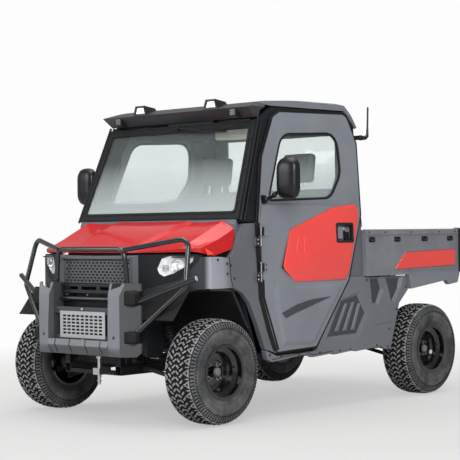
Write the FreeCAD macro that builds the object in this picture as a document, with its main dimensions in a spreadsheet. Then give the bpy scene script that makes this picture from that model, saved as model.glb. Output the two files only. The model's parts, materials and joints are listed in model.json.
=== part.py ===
"""Side by side utility vehicle with a closed cab, a tipping load bed and a tubular front guard.

The row frame is in millimetres: +Z up, the front of the vehicle towards -Y, its left side towards +X, and
the origin on the ground below the middle of the vehicle. The driving dimensions are cells of the
spreadsheet Sizes, and every sub-part is an object of the document whose sizes are bound to those cells.
"""
import FreeCAD, Part
import math
import os

import Sketcher
from FreeCAD import Placement, Rotation, Vector

doc = FreeCAD.newDocument("utility_vehicle")
sheet = doc.addObject("Spreadsheet::Sheet", "Sizes")

# Driving dimensions, in millimetres and degrees
SIZES = {
    # wheels and axles
    "front_axle": -1050, "wheelbase": 2130, "wheel_track": 1384,
    "tyre_diameter": 635, "tyre_width": 236, "lug_height": 14, "lug_length": 46,
    "bead_diameter": 310, "rim_lip_diameter": 336, "rim_width": 200, "rim_wall": 5, "disc_inset": 36,
    "kingpin_offset": 96, "hub_diameter": 92,
    # chassis
    "rail_spacing": 460, "rail_width": 50, "rail_height": 56, "rail_bottom": 292, "rail_wall": 4,
    "frame_front": -1385, "frame_rear": 1400, "ball_joint_rise": 74, "arm_tube": 26, "arm_spread": 125,
    "shock_top": 756, "shock_coil": 84, "shock_body": 44, "rack_bar": 18,
    # cab outline, seen from the side
    "sill_bottom": 350, "sill_top": 396, "floor_top": 392, "floor_plate": 20, "waist_level": 830,
    "belt_level": 1200, "eave_level": 1925, "roof_level": 2004, "door_front": -662,
    "windshield_foot": -841, "windshield_foot_level": 1231, "windshield_slope": 661, "windshield_rake": 21,
    "screen_frame": 42, "screen_foot_half": 731, "screen_head_half": 672, "glass": 6, "glass_gap": 0.3,
    # cab outline, seen from the front: half widths
    "sill_half": 740, "waist_half": 745, "belt_half": 732, "eave_half": 664, "wall": 34, "panel_gap": 6,
    # hood and front
    "hood_rear": -852, "hood_skin": 18, "grille_half": 325, "grille_top": 983, "grille_bottom": 844,
    "nose_front": -1345,
    "guard_tube": 31, "guard_bend": 55, "hoop_half": 305, "hoop_top": 1054, "hoop_front": -1396,
    "bumper_front": -1512, "bumper_inner": 272, "bumper_outer": 366, "bumper_top": 851,
    "bumper_bottom": 415,
    "screen_plate_half": 205, "screen_plate_top": 676, "screen_plate_bottom": 513,
    "screen_plate_front": -1466,
    # load bed
    "bed_front": 393, "bed_rear": 1472, "bed_half": 760, "bed_bottom": 846, "bed_top": 1156, "bed_wall": 32,
    "bed_floor": 30, "bed_pivot": 1372, "bed_pivot_level": 806, "tailgate_wall": 34, "gate_pin": 14,
    "bed_pin": 18,
    # rear
    "receiver_bore": 51, "receiver_wall": 6.5, "receiver_level": 410, "receiver_length": 220,
    "receiver_pin": 16.5, "seat_spacing": 752, "seat_width": 470,
    # door and mirror
    "door_hinge": -676, "hinge_half": 757, "hinge_barrel": 16, "door_proud": 12, "insert_proud": 14,
    "insert_seat": 5,
    "mirror_half": 920, "mirror_level": 1476, "mirror_station": -599, "mirror_width": 165,
    "mirror_height": 255,
}
for row, (alias, number) in enumerate(SIZES.items(), 1):
    sheet.set(f"A{row}", alias)
    sheet.set(f"B{row}", str(number))
    sheet.setAlias(f"B{row}", alias)
doc.recompute()


class Size:
    """A cell of the sheet or a sum of some: its number now, and the expression for a property."""

    def __init__(self, text, number):
        self.text, self.number = text, float(number)

    def __float__(self):
        return self.number

    def __neg__(self):
        return Size(f"-({self.text})", -self.number)

    def __add__(self, other):
        return Size(f"({self.text} + {expression(other)})", self.number + float(other))

    def __radd__(self, other):
        return Size(f"({expression(other)} + {self.text})", self.number + float(other))

    def __sub__(self, other):
        return Size(f"({self.text} - {expression(other)})", self.number - float(other))

    def __rsub__(self, other):
        return Size(f"({expression(other)} - {self.text})", float(other) - self.number)

    def __mul__(self, other):
        return Size(f"{self.text} * {expression(other)}", self.number * float(other))

    __rmul__ = __mul__

    def __truediv__(self, other):
        return Size(f"{self.text} / {expression(other)}", self.number / float(other))


def expression(value):
    """The text of a Size, or of a plain number."""
    return value.text if isinstance(value, Size) else repr(float(value))


class Cells:
    """Gives each cell of the sheet by its alias."""

    def __getattr__(self, alias):
        return Size(f"Sizes.{alias}", sheet.get(alias))


S = Cells()
KEPT = []


def keep(obj, label=None):
    """Marks an object as a sub-part to be written."""
    if label:
        obj.Label = label
    KEPT.append(obj)
    return obj


def bind(obj, name, value):
    """Sets a property from a Size through its expression, or from a plain number."""
    obj.setExpression(name, expression(value))


# Sketches, pads and revolutions

def origin_plane(body, role):
    return next(f for f in body.Origin.OriginFeatures if f.Role == role)


def sketch(body, name, role, loops, level=0):
    """A sketch of closed polygons on an origin plane of the body, every corner bound to its two sizes."""
    made = body.newObject("Sketcher::SketchObject", name)
    made.AttachmentSupport = [(origin_plane(body, role), "")]
    made.MapMode = "FlatFace"
    bind(made, ".AttachmentOffset.Base.z", -1 * level if role == "XZ_Plane" else level)
    first = 0
    for points in loops:
        count = len(points)
        corners = [Vector(float(u), float(v), 0) for u, v in points]
        made.addGeometry([Part.LineSegment(corners[i], corners[(i + 1) % count]) for i in range(count)])
        made.addConstraint([Sketcher.Constraint("Coincident", first + i, 2, first + (i + 1) % count, 1)
                            for i in range(count)])
        for i, (u, v) in enumerate(points):
            across = made.addConstraint(Sketcher.Constraint("DistanceX", -1, 1, first + i, 1, float(u)))
            up = made.addConstraint(Sketcher.Constraint("DistanceY", -1, 1, first + i, 1, float(v)))
            if isinstance(u, Size):
                bind(made, f"Constraints[{across}]", u)
            if isinstance(v, Size):
                bind(made, f"Constraints[{up}]", v)
        first += count
    return made


IN_PLANE = {"YZ_Plane": (1, 2, 0), "XZ_Plane": (0, 2, 1), "XY_Plane": (0, 1, 2)}


def edges_at(shape, role, corner):
    """Names of the straight edges square to the plane that pass through a corner of the outline."""
    u_axis, v_axis, normal = IN_PLANE[role]
    names = []
    for number, edge in enumerate(shape.Edges, 1):
        a, b = edge.Vertexes[0].Point, edge.Vertexes[-1].Point
        off_line = abs(a[u_axis] - b[u_axis]) + abs(a[v_axis] - b[v_axis])
        if off_line > 0.01 or abs(a[normal] - b[normal]) < 0.5:
            continue
        if abs(a[u_axis] - float(corner[0])) + abs(a[v_axis] - float(corner[1])) < 0.01:
            names.append(f"Edge{number}")
    return names


def slab(label, role, loops, start, end, rounds=()):
    """A body padded from start to end along the plane's normal; rounds lists (corner, radius)."""
    body = doc.addObject("PartDesign::Body", label)
    profile = sketch(body, label + "_outline", role, loops, start)
    pad = body.newObject("PartDesign::Pad", label + "_pad")
    pad.Profile = profile
    bind(pad, "Length", end - start)
    pad.Reversed = role == "XZ_Plane"
    profile.Visibility = False
    last = pad
    for number, (corners, radius) in enumerate(rounds):
        doc.recompute()
        names = [name for corner in corners for name in edges_at(last.Shape, role, corner)]
        fillet = body.newObject("PartDesign::Fillet", f"{label}_round{number}")
        fillet.Base = (last, names)
        bind(fillet, "Radius", radius)
        last = fillet
    body.Tip = last
    return body


def turned(label, points, along):
    """A body of revolution about X, moved to along; the outline holds (distance along the axis, radius)."""
    body = doc.addObject("PartDesign::Body", label)
    profile = sketch(body, label + "_profile", "XZ_Plane", [points])
    turn = body.newObject("PartDesign::Revolution", label + "_turn")
    turn.Profile = profile
    turn.ReferenceAxis = (profile, ["H_Axis"])
    turn.Angle = 360
    body.Tip = turn
    return place(body, along)


def place(obj, position, axis=None, angle=None):
    """Binds an object's Placement to three sizes, and turns it about an axis."""
    if axis:
        obj.Placement = Placement(Vector(*[float(p) for p in position]),
                                  Rotation(Vector(*axis), float(angle)))
    for letter, value in zip("xyz", position):
        if isinstance(value, Size):
            bind(obj, f".Placement.Base.{letter}", value)
        else:
            base = obj.Placement.Base
            setattr(base, letter, float(value))
            obj.Placement = Placement(base, obj.Placement.Rotation)
    return obj


def lean(obj, position, back):
    """Binds a Placement to three sizes and to an angle by which the piece leans back about X."""
    x, y, z = (expression(value) for value in position)
    turn = f"rotation(vector(1; 0; 0); -1 * {expression(back)})"
    obj.setExpression("Placement", f"placement(vector({x}; {y}; {z}); {turn})")
    return obj


# Joining

def joined(kind, label, *parts):
    """A Part boolean of two or more objects: Cut, Common or MultiFuse."""
    made = doc.addObject("Part::" + kind, label)
    if kind == "MultiFuse":
        made.Shapes = list(parts)
    else:
        made.Base, made.Tool = parts
    for part in parts:
        part.Visibility = False
    return made


def cut(label, base, tool):
    return joined("Cut", label, base, tool)


def common(label, base, tool):
    return joined("Common", label, base, tool)


def fuse(label, *parts):
    return joined("MultiFuse", label, *parts)


def mirrored(label, source):
    """The same piece on the right side."""
    made = doc.addObject("Part::Mirroring", label)
    made.Source = source
    made.Base, made.Normal = Vector(0, 0, 0), Vector(1, 0, 0)
    return made


def both_sides(label, source):
    """One sub-part that holds the left piece and its mirror image."""
    made = doc.addObject("Part::Compound", label)
    made.Links = [source, mirrored(label + "_right", source)]
    return made


def feature(label, shape):
    """A Part::Feature for a swept or lofted form."""
    made = doc.addObject("Part::Feature", label)
    made.Shape = shape
    return made


def block(label, low, high):
    """A Part::Box between two corners."""
    made = doc.addObject("Part::Box", label)
    for name, a, b in zip(("Length", "Width", "Height"), low, high):
        bind(made, name, b - a)
    return place(made, low)


def rod(label, start, axis, length, radius):
    """A Part::Cylinder from a start point along X, Y or Z."""
    made = doc.addObject("Part::Cylinder", label)
    bind(made, "Radius", radius)
    bind(made, "Height", length)
    tilt = {"X": ((0, 1, 0), 90), "Y": ((1, 0, 0), -90), "Z": ((0, 0, 1), 0)}[axis]
    return place(made, start, *tilt)


def point(position):
    return Vector(*[float(p) for p in position])


def bent_path(points, bend):
    """A wire of straight runs joined by tangent arcs of the bend radius."""
    corners = [point(p) for p in points]
    edges, here = [], corners[0]
    for before, corner, after in zip(corners, corners[1:], corners[2:]):
        into, out = (corner - before).normalize(), (after - corner).normalize()
        half = math.acos(max(-1, min(1, into.dot(out)))) / 2
        reach = float(bend) * math.tan(half)
        start, stop = corner - into * reach, corner + out * reach
        inward = (out - into).normalize()
        middle = corner + inward * (float(bend) / math.cos(half) - float(bend))
        edges += [Part.LineSegment(here, start).toShape(), Part.Arc(start, middle, stop).toShape()]
        here = stop
    edges.append(Part.LineSegment(here, corners[-1]).toShape())
    return Part.Wire(edges)


def tube_shape(points, diameter, bend=40):
    """A solid round bar or tube's outer form swept along a bent path."""
    path = bent_path(points, bend) if len(points) > 2 else Part.Wire(
        [Part.LineSegment(point(points[0]), point(points[1])).toShape()])
    start = path.OrderedEdges[0]
    ring = Part.Wire([Part.makeCircle(float(diameter) / 2, start.valueAt(start.FirstParameter),
                                      start.tangentAt(start.FirstParameter))])
    return path.makePipeShell([ring], True, False)


def mirror_shape(shape):
    return shape.mirror(Vector(0, 0, 0), Vector(1, 0, 0))


def fused_shape(shapes):
    whole = shapes[0]
    return whole.multiFuse(shapes[1:]).removeSplitter() if len(shapes) > 1 else whole


def loft_shape(sections):
    """A smooth solid through closed polygons with equal numbers of corners."""
    wires = [Part.makePolygon([point(p) for p in section] + [point(section[0])]) for section in sections]
    return Part.makeLoft(wires, True, False)


def grown(loop, by):
    """An outline moved outwards by a distance on every side, or inwards where it is negative."""
    corners = [Vector(float(u), float(v), 0) for u, v in loop]
    area = sum(a.x * b.y - b.x * a.y for a, b in zip(corners, corners[1:] + corners[:1]))
    by = math.copysign(float(by), -area * float(by))
    moved = []
    for before, corner, after in zip(corners[-1:] + corners[:-1], corners, corners[1:] + corners[:1]):
        into, out = (corner - before).normalize(), (after - corner).normalize()
        left = Vector(-into.y - out.y, into.x + out.x, 0)
        left.normalize()
        scale = by / (left.x * -into.y + left.y * into.x)
        moved.append((corner.x + left.x * scale, corner.y + left.y * scale))
    return moved


def ruled_shape(axis, first, first_at, last, last_at):
    """A solid with ruled sides between two outlines with equal numbers of corners, square to X or Y."""
    wires = []
    for loop, at in ((first, first_at), (last, last_at)):
        corners = [point((at, u, v) if axis == "X" else (u, at, v)) for u, v in loop]
        wires.append(Part.makePolygon(corners + corners[:1]))
    return Part.makeLoft(wires, True, True)


def bevelled_shape(axis, loop, start, stop, inset):
    """A plug of an outline at start that narrows by inset towards stop."""
    return ruled_shape(axis, loop, start, grown(loop, -1 * float(inset)), stop)


def pierced_shape(outline, holes, front, thick):
    """A plate square to Y with holes; the outlines hold (x, z)."""
    wires = []
    for loop in [outline] + holes:
        corners = [point((u, front, v)) for u, v in loop]
        wires.append(Part.makePolygon(corners + corners[:1]))
    return Part.makeFace(wires, "Part::FaceMakerBullseye").extrude(Vector(0, float(thick), 0))


def box_loop(u, v, width, height):
    """The corners of a rectangle about its centre."""
    return [(u - width / 2, v - height / 2), (u + width / 2, v - height / 2),
            (u + width / 2, v + height / 2), (u - width / 2, v + height / 2)]


# Stations worked out from the driving dimensions
rear_axle = S.front_axle + S.wheelbase
wheel_half = S.wheel_track / 2
axle_level = S.tyre_diameter / 2
kingpin_half = wheel_half - S.kingpin_offset
rail_half = S.rail_spacing / 2
rail_top = S.rail_bottom + S.rail_height
gap = S.panel_gap

# Wheels, in their own frame: the axis along X, +X towards the outside of the vehicle

BEAD_SEAT, TYRE_SIDE = S.rim_width / 2 - 1.3, S.tyre_width / 2
tyre_radius, bead_radius = S.tyre_diameter / 2, S.bead_diameter / 2
carcass_radius = tyre_radius - S.lug_height
TYRE_FACETS = 24
spindle_radius, hub_radius = S.hub_diameter / 5, S.hub_diameter / 2
disc_face = S.rim_width / 2 - 100 + S.disc_inset / 6
hub_back = disc_face - S.disc_inset - 10


def facet_ring(profile, count):
    """A closed ring of flat facets about X: the profile holds (distance along the axis, radius)."""
    rings = []
    for number in range(count):
        turn = 2 * math.pi * (number + 0.5) / count
        rings.append([point((x, r * math.sin(turn), r * math.cos(turn))) for x, r in profile])
    faces = []
    for ring, after in zip(rings, rings[1:] + rings[:1]):
        for a, b, c, d in zip(ring, ring[1:] + ring[:1], after[1:] + after[:1], after):
            faces.append(Part.Face(Part.makePolygon([a, b, c, d, a])))
    return Part.Solid(Part.Shell(faces))


def tyre_shape():
    """The tyre about its own centre: a carcass with staggered block lugs on both shoulders."""
    inner = (bead_radius + 0.3) / math.cos(math.pi / TYRE_FACETS)
    half = [(BEAD_SEAT, inner), (BEAD_SEAT, bead_radius + 16), (TYRE_SIDE - 6, bead_radius + 38),
            (TYRE_SIDE, bead_radius + 82), (TYRE_SIDE - 12, carcass_radius - 14),
            (TYRE_SIDE - 36, carcass_radius)]
    carcass = facet_ring(half + [(-x, r) for x, r in reversed(half)], TYRE_FACETS)
    section = [(TYRE_SIDE - 66, carcass_radius - 12), (TYRE_SIDE - 66, tyre_radius),
               (TYRE_SIDE - 26, tyre_radius - 2),
               (TYRE_SIDE - 2, carcass_radius - 26)]
    lugs = []
    for side in (1, -1):
        corners = [point((x * side, S.lug_length / -2, r)) for x, r in section]
        block_lug = Part.Face(Part.makePolygon(corners + corners[:1])).extrude(point((0, S.lug_length, 0)))
        for number in range(TYRE_FACETS):
            turn = 360 * (number + (0 if side > 0 else 0.5)) / TYRE_FACETS
            lugs.append(block_lug.copy().rotate(Vector(0, 0, 0), Vector(1, 0, 0), turn))
    return carcass.multiFuse(lugs)


def rim(label, centre, outward):
    """A deep rim: a stepped barrel between two lips, its disc, and the hub that turns on the spindle."""
    seat, wall, half = bead_radius - 0.3, S.rim_wall, S.rim_width / 2
    lip, step = S.rim_lip_diameter / 2, S.rim_lip_diameter / 12
    profile = [
        (hub_back, spindle_radius + 0.3), (hub_back, hub_radius), (disc_face - 14, hub_radius),
        (disc_face - 10, hub_radius + 38), (disc_face - 26, seat - step - wall - 6),
        (-half + 46, seat - step - wall), (-half + 30, seat - wall), (-half - wall, seat - wall),
        (-half - wall, lip), (-half + 1, lip), (-half + 1, seat), (-half + 34, seat),
        (-half + 50, seat - step), (half - 50, seat - step), (half - 34, seat), (half - 1, seat),
        (half - 1, lip),
        (half + wall, lip), (half + wall, seat - wall), (half - 30, seat - wall),
        (half - 46, seat - step - wall),
        (disc_face + 20, seat - step - wall), (disc_face + 4, seat - step - wall - 10),
        (disc_face, hub_radius + 34), (disc_face, hub_radius - 12), (disc_face + 26, hub_radius - 15),
        (disc_face + 30, 0), (disc_face + 12, 0), (disc_face + 12, spindle_radius + 0.3),
    ]
    return turned(label, [(x * outward, r) for x, r in profile], centre)


tread = {1: tyre_shape()}
tread[-1] = mirror_shape(tread[1])
for side, outward in (("left", 1), ("right", -1)):
    for end, station in (("front", S.front_axle), ("rear", rear_axle)):
        centre = (wheel_half * outward, station, axle_level)
        keep(place(feature(f"tyre_{end}_{side}", tread[outward].copy()), centre))
        keep(rim(f"rim_{end}_{side}", centre, outward))

# Upright that carries a wheel: ball joint post, bearing carrier and spindle
ball_low, ball_high = axle_level - S.ball_joint_rise, axle_level + S.ball_joint_rise
post_radius = S.hub_diameter / 4
spindle_end = wheel_half + disc_face + 8
carrier_end = wheel_half + hub_back - 10
steer_arm, steer_level = 88, axle_level + 17
rack_level, rack_station = axle_level + 48, S.front_axle + steer_arm


def upright(label, station, with_arm):
    """The left upright of an axle, with its steering arm if it steers."""
    parts = [
        rod(label + "_post", (kingpin_half, station, ball_low), "Z", ball_high - ball_low, post_radius),
        rod(label + "_carrier", (kingpin_half, station, axle_level), "X", carrier_end - kingpin_half,
            hub_radius - 6),
        rod(label + "_spindle", (kingpin_half, station, axle_level), "X", spindle_end - kingpin_half,
            spindle_radius),
    ]
    if with_arm:
        tip = station + steer_arm
        parts += [
            block(label + "_arm", (kingpin_half - 14, station, steer_level),
                  (kingpin_half + 14, tip, steer_level + 16)),
            rod(label + "_eye", (kingpin_half, tip, steer_level), "Z", 16, 14),
        ]
    return fuse(label, *parts)


knuckle = keep(upright("knuckle_left", S.front_axle, True))
keep(mirrored("knuckle_right", knuckle))

# Suspension arms: two wishbones a side, their pivots on the frame, their tips at the ball joints
frame_side = rail_half + S.rail_width / 2
drive_level = axle_level + 98
upper_pivot = drive_level + 30
lower_pivot = S.rail_bottom + 28
arm_foot = frame_side + 16


def wishbones(station):
    """Upper and lower A-arms of the left side with the pivot bushes and the ball joint sockets."""
    shapes = []
    for level, pivot, base in ((ball_low - 22, lower_pivot, ball_low - 36),
                               (ball_high + 22, upper_pivot, ball_high + 0.3)):
        tip = (kingpin_half, station, level)
        shapes.append(Part.makeCylinder(22, 35.7, point((kingpin_half, station, base))))
        for way in (-1, 1):
            foot = (arm_foot, station + S.arm_spread * way, pivot)
            shapes.append(tube_shape([foot, tip], S.arm_tube))
            shapes.append(Part.makeCylinder(16, 56, point(foot) - Vector(0, 28, 0), Vector(0, 1, 0)))
    whole = fused_shape(shapes)
    return Part.makeCompound([whole, mirror_shape(whole)])


rear_upright = upright("rear_upright", rear_axle, False)
doc.recompute()
arm_solids = []
for whole in (wishbones(S.front_axle), wishbones(rear_axle), rear_upright.Shape,
              mirror_shape(rear_upright.Shape)):
    arm_solids += whole.Solids
keep(feature("suspension_arms", Part.makeCompound(arm_solids)))

# Shock absorbers with their coil springs, one a corner, in front of the half shafts
shock_offset = S.shock_coil / 2 + 22
shock_low, shock_high = (432, ball_high + 72), (frame_side + 28, S.shock_top)


def shocks(station, way):
    """Both shock absorbers of an axle: eyes, body, spring seats and the coils of the spring as ridges."""
    y = station + shock_offset * way
    coil, body, turns = float(S.shock_coil) / 2, float(S.shock_body) / 2, 6
    made = []
    for side in (-1, 1):
        foot = point((shock_low[0] * side, y, shock_low[1]))
        head = point((shock_high[0] * side, y, shock_high[1]))
        along = (head - foot).normalize()
        length = (head - foot).Length
        start, stop = 54, length - 50
        pitch = (stop - start) / turns
        outline = [(10, 0), (10, body), (start - 8, body), (start - 8, coil + 3), (start, coil + 3),
                   (start, coil - 9)]
        for turn in range(turns):
            low = start + pitch * turn
            outline += [(low + pitch * 0.3, coil - 9), (low + pitch * 0.4, coil),
                        (low + pitch * 0.75, coil), (low + pitch * 0.9, coil - 9)]
        outline += [(stop, coil - 9), (stop, coil + 3), (stop + 8, coil + 3), (stop + 8, body),
                    (length - 10, body), (length - 10, 0)]
        corners = [Vector(r, 0, z) for z, r in outline]
        face = Part.Face(Part.makePolygon(corners + corners[:1]))
        spring = face.revolve(Vector(0, 0, 0), Vector(0, 0, 1), 360)
        spring.Placement = Placement(foot, Rotation(Vector(0, 0, 1), along))
        eyes = [Part.makeCylinder(18, 40, end - Vector(0, 20, 0), Vector(0, 1, 0)) for end in (foot, head)]
        made += fused_shape([spring] + eyes).Solids
    return made


keep(feature("shock_absorbers", Part.makeCompound(shocks(S.front_axle, -1) + shocks(rear_axle, 1))))

# Ladder frame: two box rails, low cross members, shock towers and the posts that carry the load bed
cross_top = S.rail_bottom + 24
tower_top = S.shock_top + 34
bed_rest = S.bed_bottom - 0.3
inner_half = rail_half - S.rail_width / 2
members = []
for way, name in ((1, "left"), (-1, "right")):
    low, high = rail_half * way - S.rail_width / 2, rail_half * way + S.rail_width / 2
    outer = block(f"rail_{name}", (low, S.frame_front, S.rail_bottom), (high, S.frame_rear, rail_top))
    inner = block(f"rail_{name}_hollow",
                  (low + S.rail_wall, S.frame_front - 1, S.rail_bottom + S.rail_wall),
                  (high - S.rail_wall, S.frame_rear + 1, rail_top - S.rail_wall))
    members.append(cut(f"rail_{name}_tube", outer, inner))
for number, y in enumerate((S.frame_front, -660, -100, 360, 900, S.frame_rear - 50)):
    members.append(block(f"cross_member_{number}", (-1 * inner_half, y, S.rail_bottom),
                         (inner_half, y + 50, cross_top)))
for name, station in (("front", S.front_axle), ("rear", rear_axle)):
    for way in (-1, 1):
        y = station + S.arm_spread * way - 15
        for side in (-1, 1):
            x = rail_half * side - 20
            members.append(block(f"tower_{name}_{way}_{side}", (x, y, rail_top),
                                 (x + 40, y + 30, tower_top)))
        members.append(block(f"tower_bar_{name}_{way}", (-1 * rail_half, y, tower_top - 30),
                             (rail_half, y + 30, tower_top)))
    shock_way = -1 if name == "front" else 1
    y = station + shock_offset * shock_way
    for side in (-1, 1):
        edge = (shock_high[0] - 18.3) * side
        low_x, high_x = (rail_half - 20, edge) if side > 0 else (edge, 20 - rail_half)
        members.append(block(f"shock_mount_{name}_{side}",
                             (low_x, station - S.arm_spread, S.shock_top - 14),
                             (high_x, station + S.arm_spread, S.shock_top + 14)))
for side in (-1, 1):
    x = rail_half * side - 20
    members.append(block(f"bed_post_front_{side}", (x, S.bed_front + 6, rail_top),
                         (x + 40, S.bed_front + 36, bed_rest)))
    members.append(block(f"bed_post_rear_{side}", (x, S.bed_pivot - 18, rail_top),
                         (x + 12, S.bed_pivot + 18, S.bed_pivot_level + 16)))
    members.append(block(f"nose_post_{side}", (x, S.frame_front, rail_top),
                         (x + 40, S.frame_front + 40, S.bumper_top - 120)))
members.append(block("nose_bar", (-1 * rail_half, S.frame_front, S.bumper_top - 150),
                     (rail_half, S.frame_front + 40, S.bumper_top - 120)))
members.append(block("hitch_bar", (-1 * frame_side, S.frame_rear, S.rail_bottom),
                     (frame_side, S.frame_rear + 10, S.receiver_level + 45)))
members.append(rod("bed_pivot_pin", (-1 * rail_half - 34, S.bed_pivot, S.bed_pivot_level), "X",
                   2 * rail_half + 68, S.bed_pin / 2))
for side in (-1, 1):
    for y in (-590, -100, 280):
        members.append(rod(f"body_mount_{side}_{y}", (rail_half * side, y, rail_top), "Z",
                           S.sill_top - 24.3 - rail_top, 24))
    x = rail_half * side - 18
    members.append(block(f"rack_clamp_{side}", (x, rack_station - 19, rail_top),
                         (x + 36, rack_station + 19, rack_level + 22)))
rack_bore = rod("rack_bore", (-1 * rail_half - 30, rack_station, rack_level), "X", 2 * rail_half + 60,
                S.rack_bar / 2 + 0.3)
frame = keep(cut("chassis_frame", fuse("frame_members", *members), rack_bore))

# Drive line: engine block, transaxle, front differential, propeller shaft and half shafts
engine_front, engine_rear = 436, 824
feet = block("engine_feet", (-1 * rail_half - 10, 500, rail_top + 0.3),
             (rail_half + 10, 760, rail_top + 20))
keep(fuse("engine_block", feet, block("engine_case", (-190, engine_front, S.rail_bottom + 30),
                                      (190, engine_rear, 735))))


def axle_drive(label, station, case_half, extra):
    """A differential case with two half shafts down to the uprights, their joints in rubber boots."""
    shapes = [Part.makeBox(2 * case_half, 136, 150,
                           Vector(-case_half, float(station) - 68, float(drive_level) - 75))]
    shapes[0] = shapes[0].makeFillet(24, [e for e in shapes[0].Edges])
    inner = point((case_half - 10, station, drive_level))
    outer = point((kingpin_half - post_radius - 19, station, axle_level + 8))
    along = (outer - inner).normalize()
    length = (outer - inner).Length
    half = [Part.makeCylinder(14, length, inner, along), Part.makeCone(44, 22, 80, inner, along),
            Part.makeCone(20, 34, 70, outer - along * 76, along)]
    shapes += half + [mirror_shape(s) for s in half] + extra
    return feature(label, fused_shape(shapes))


prop_level = cross_top + 19
prop = Part.makeCylinder(15, engine_front - 0.3 - float(S.front_axle) - 60,
                         point((0, S.front_axle + 60, prop_level)), Vector(0, 1, 0))
keep(axle_drive("front_drive", S.front_axle, 105, [prop]))
tunnel = Part.makeCylinder(82, float(rear_axle) - 60 - engine_rear - 0.3,
                           point((0, engine_rear + 0.3, drive_level + 10)), Vector(0, 1, 0))
keep(axle_drive("rear_transaxle", rear_axle, 140, [tunnel]))

# Steering: rack bar with its two rod ends, column, wheel
rack = rod("rack_bar", (-1 * kingpin_half, rack_station, rack_level), "X", 2 * kingpin_half, S.rack_bar / 2)
ends = [rod(f"rod_end_{side}", (kingpin_half * side, rack_station, rack_level - 9), "Z", 18, 13)
        for side in (-1, 1)]
keep(fuse("tie_rods", rack, *ends))

driver_side = S.seat_spacing / 2
wheel_centre = point((driver_side, -440, 1110))
wheel_tilt = 32
column_along = Vector(0, -math.cos(math.radians(wheel_tilt)), -math.sin(math.radians(wheel_tilt)))
column_length = 444.5
shapes = [Part.makeCylinder(28, 250, wheel_centre + column_along * 50, column_along),
          Part.makeCylinder(11, column_length - 60, wheel_centre + column_along * 60, column_along)]
keep(feature("steering_column", fused_shape(shapes)))
ring = Part.makeTorus(178, 14, wheel_centre, column_along)
hub = Part.makeCylinder(46, 43.7, wheel_centre + column_along * 6, column_along)
shapes = [ring, hub]
for turn in (0, 120, 240):
    across = Vector(1, 0, 0)
    spoke = Rotation(column_along, turn).multVec(across.cross(column_along))
    shapes.append(tube_shape([wheel_centre + column_along * 20, wheel_centre + spoke * 170], 20))
keep(feature("steering_wheel", fused_shape(shapes)))

# Cab: a side wall that leans in above the belt, from which every side panel is taken

def wall_section(label, out, thick, front=-1420, rear=1500):
    """The side wall's section from sill to eave, moved outwards by out, padded along the vehicle."""
    levels = [(S.sill_half, S.sill_bottom - 10), (S.waist_half, S.waist_level), (S.belt_half, S.belt_level),
              (S.eave_half, S.eave_level), (S.eave_half - 12, S.roof_level)]
    outer = [(half + out, level) for half, level in levels]
    inner = [(half + (out - thick), level) for half, level in reversed(levels)]
    return slab(label, "XZ_Plane", [outer + inner], front, rear)


wall = wall_section("side_wall", 0, S.wall)
frame_wall = wall_section("frame_wall", -S.wall / 2, 62)
glass_wall = wall_section("glass_wall", -14, S.glass)
FAR = 1000


def side_slab(label, loop, rounds=()):
    """A side-view outline padded through the left wall."""
    return slab(label, "YZ_Plane", [loop], 400, FAR, rounds)


DOOR = [(S.door_front - 4, 1192), (S.door_front + 15, 742), (-507, 400), (-127, 412), (208, 828),
        (367, 1259),
        (383, 1737), (296, S.eave_level), (-380, S.eave_level - 18), (-446, 1872), (-580, 1617)]
WINDOW = [(-392, 1782), (196, 1812), (205, 1520), (72, 1352), (-548, 1330), (-560, 1372)]
INSERT = [(-376, 1166), (69, 1307), (306, 1325), (180, 830), (-333, 830), (-462, 922)]
WEDGE = [(-468, 637), (-434, 604), (32, 720)]
# The door's lower half stands proud of its rim: the foot of its bevel, then the edge of its face
PROUD_FOOT = [(-630, 1318), (-655, 1190), (-650, 856), (-560, 690), (-470, 414), (-150, 408), (192, 830),
              (350, 1262),
              (350, 1318)]
PROUD_FACE = [(-622, 1306), (-646, 1190), (-640, 866), (-519, 852), (-429, 479), (-170, 464), (158, 836),
              (330, 1268),
              (330, 1306)]
handle_place, handle_wide, handle_tall = (171, 1139), 172, 122

door_hole = side_slab("door_aperture", grown(DOOR, S.panel_gap), [([grown(DOOR, S.panel_gap)[7]], 70)])
door_blank = side_slab("door_outline", DOOR, [([DOOR[7]], 64), (DOOR[2:4], 20)])
window_hole = side_slab("window_outline", WINDOW, [(WINDOW, 24)])
insert_bed = side_slab("insert_recess", grown(INSERT, S.glass_gap))
pane_blank = side_slab("pane_outline", grown(WINDOW, -S.glass_gap), [(grown(WINDOW, -S.glass_gap), 23.7)])
insert_seat_wall = wall_section("insert_seat_wall", 60, 60 + S.insert_seat)
proud_wall = wall_section("proud_wall", S.door_proud, S.wall)
scoop_wall = wall_section("scoop_wall", 60, 58)

# The red insert bulges: its foot turns in below a crease, and it leans in with the wall above
bulge = slab("insert_section", "XZ_Plane", [[
    (S.waist_half + 3, S.waist_level - 40), (S.waist_half + S.insert_proud, S.waist_level + 72),
    (S.belt_half + S.insert_proud, S.belt_level), (S.belt_half + S.insert_proud - 14, S.belt_level + 150),
    (S.belt_half - S.wall, S.belt_level + 150), (S.belt_half - S.wall, S.waist_level - 40)]], -600, 500)
seat_face = wall_section("insert_back", 60, 60 + S.insert_seat - 0.3)

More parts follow.
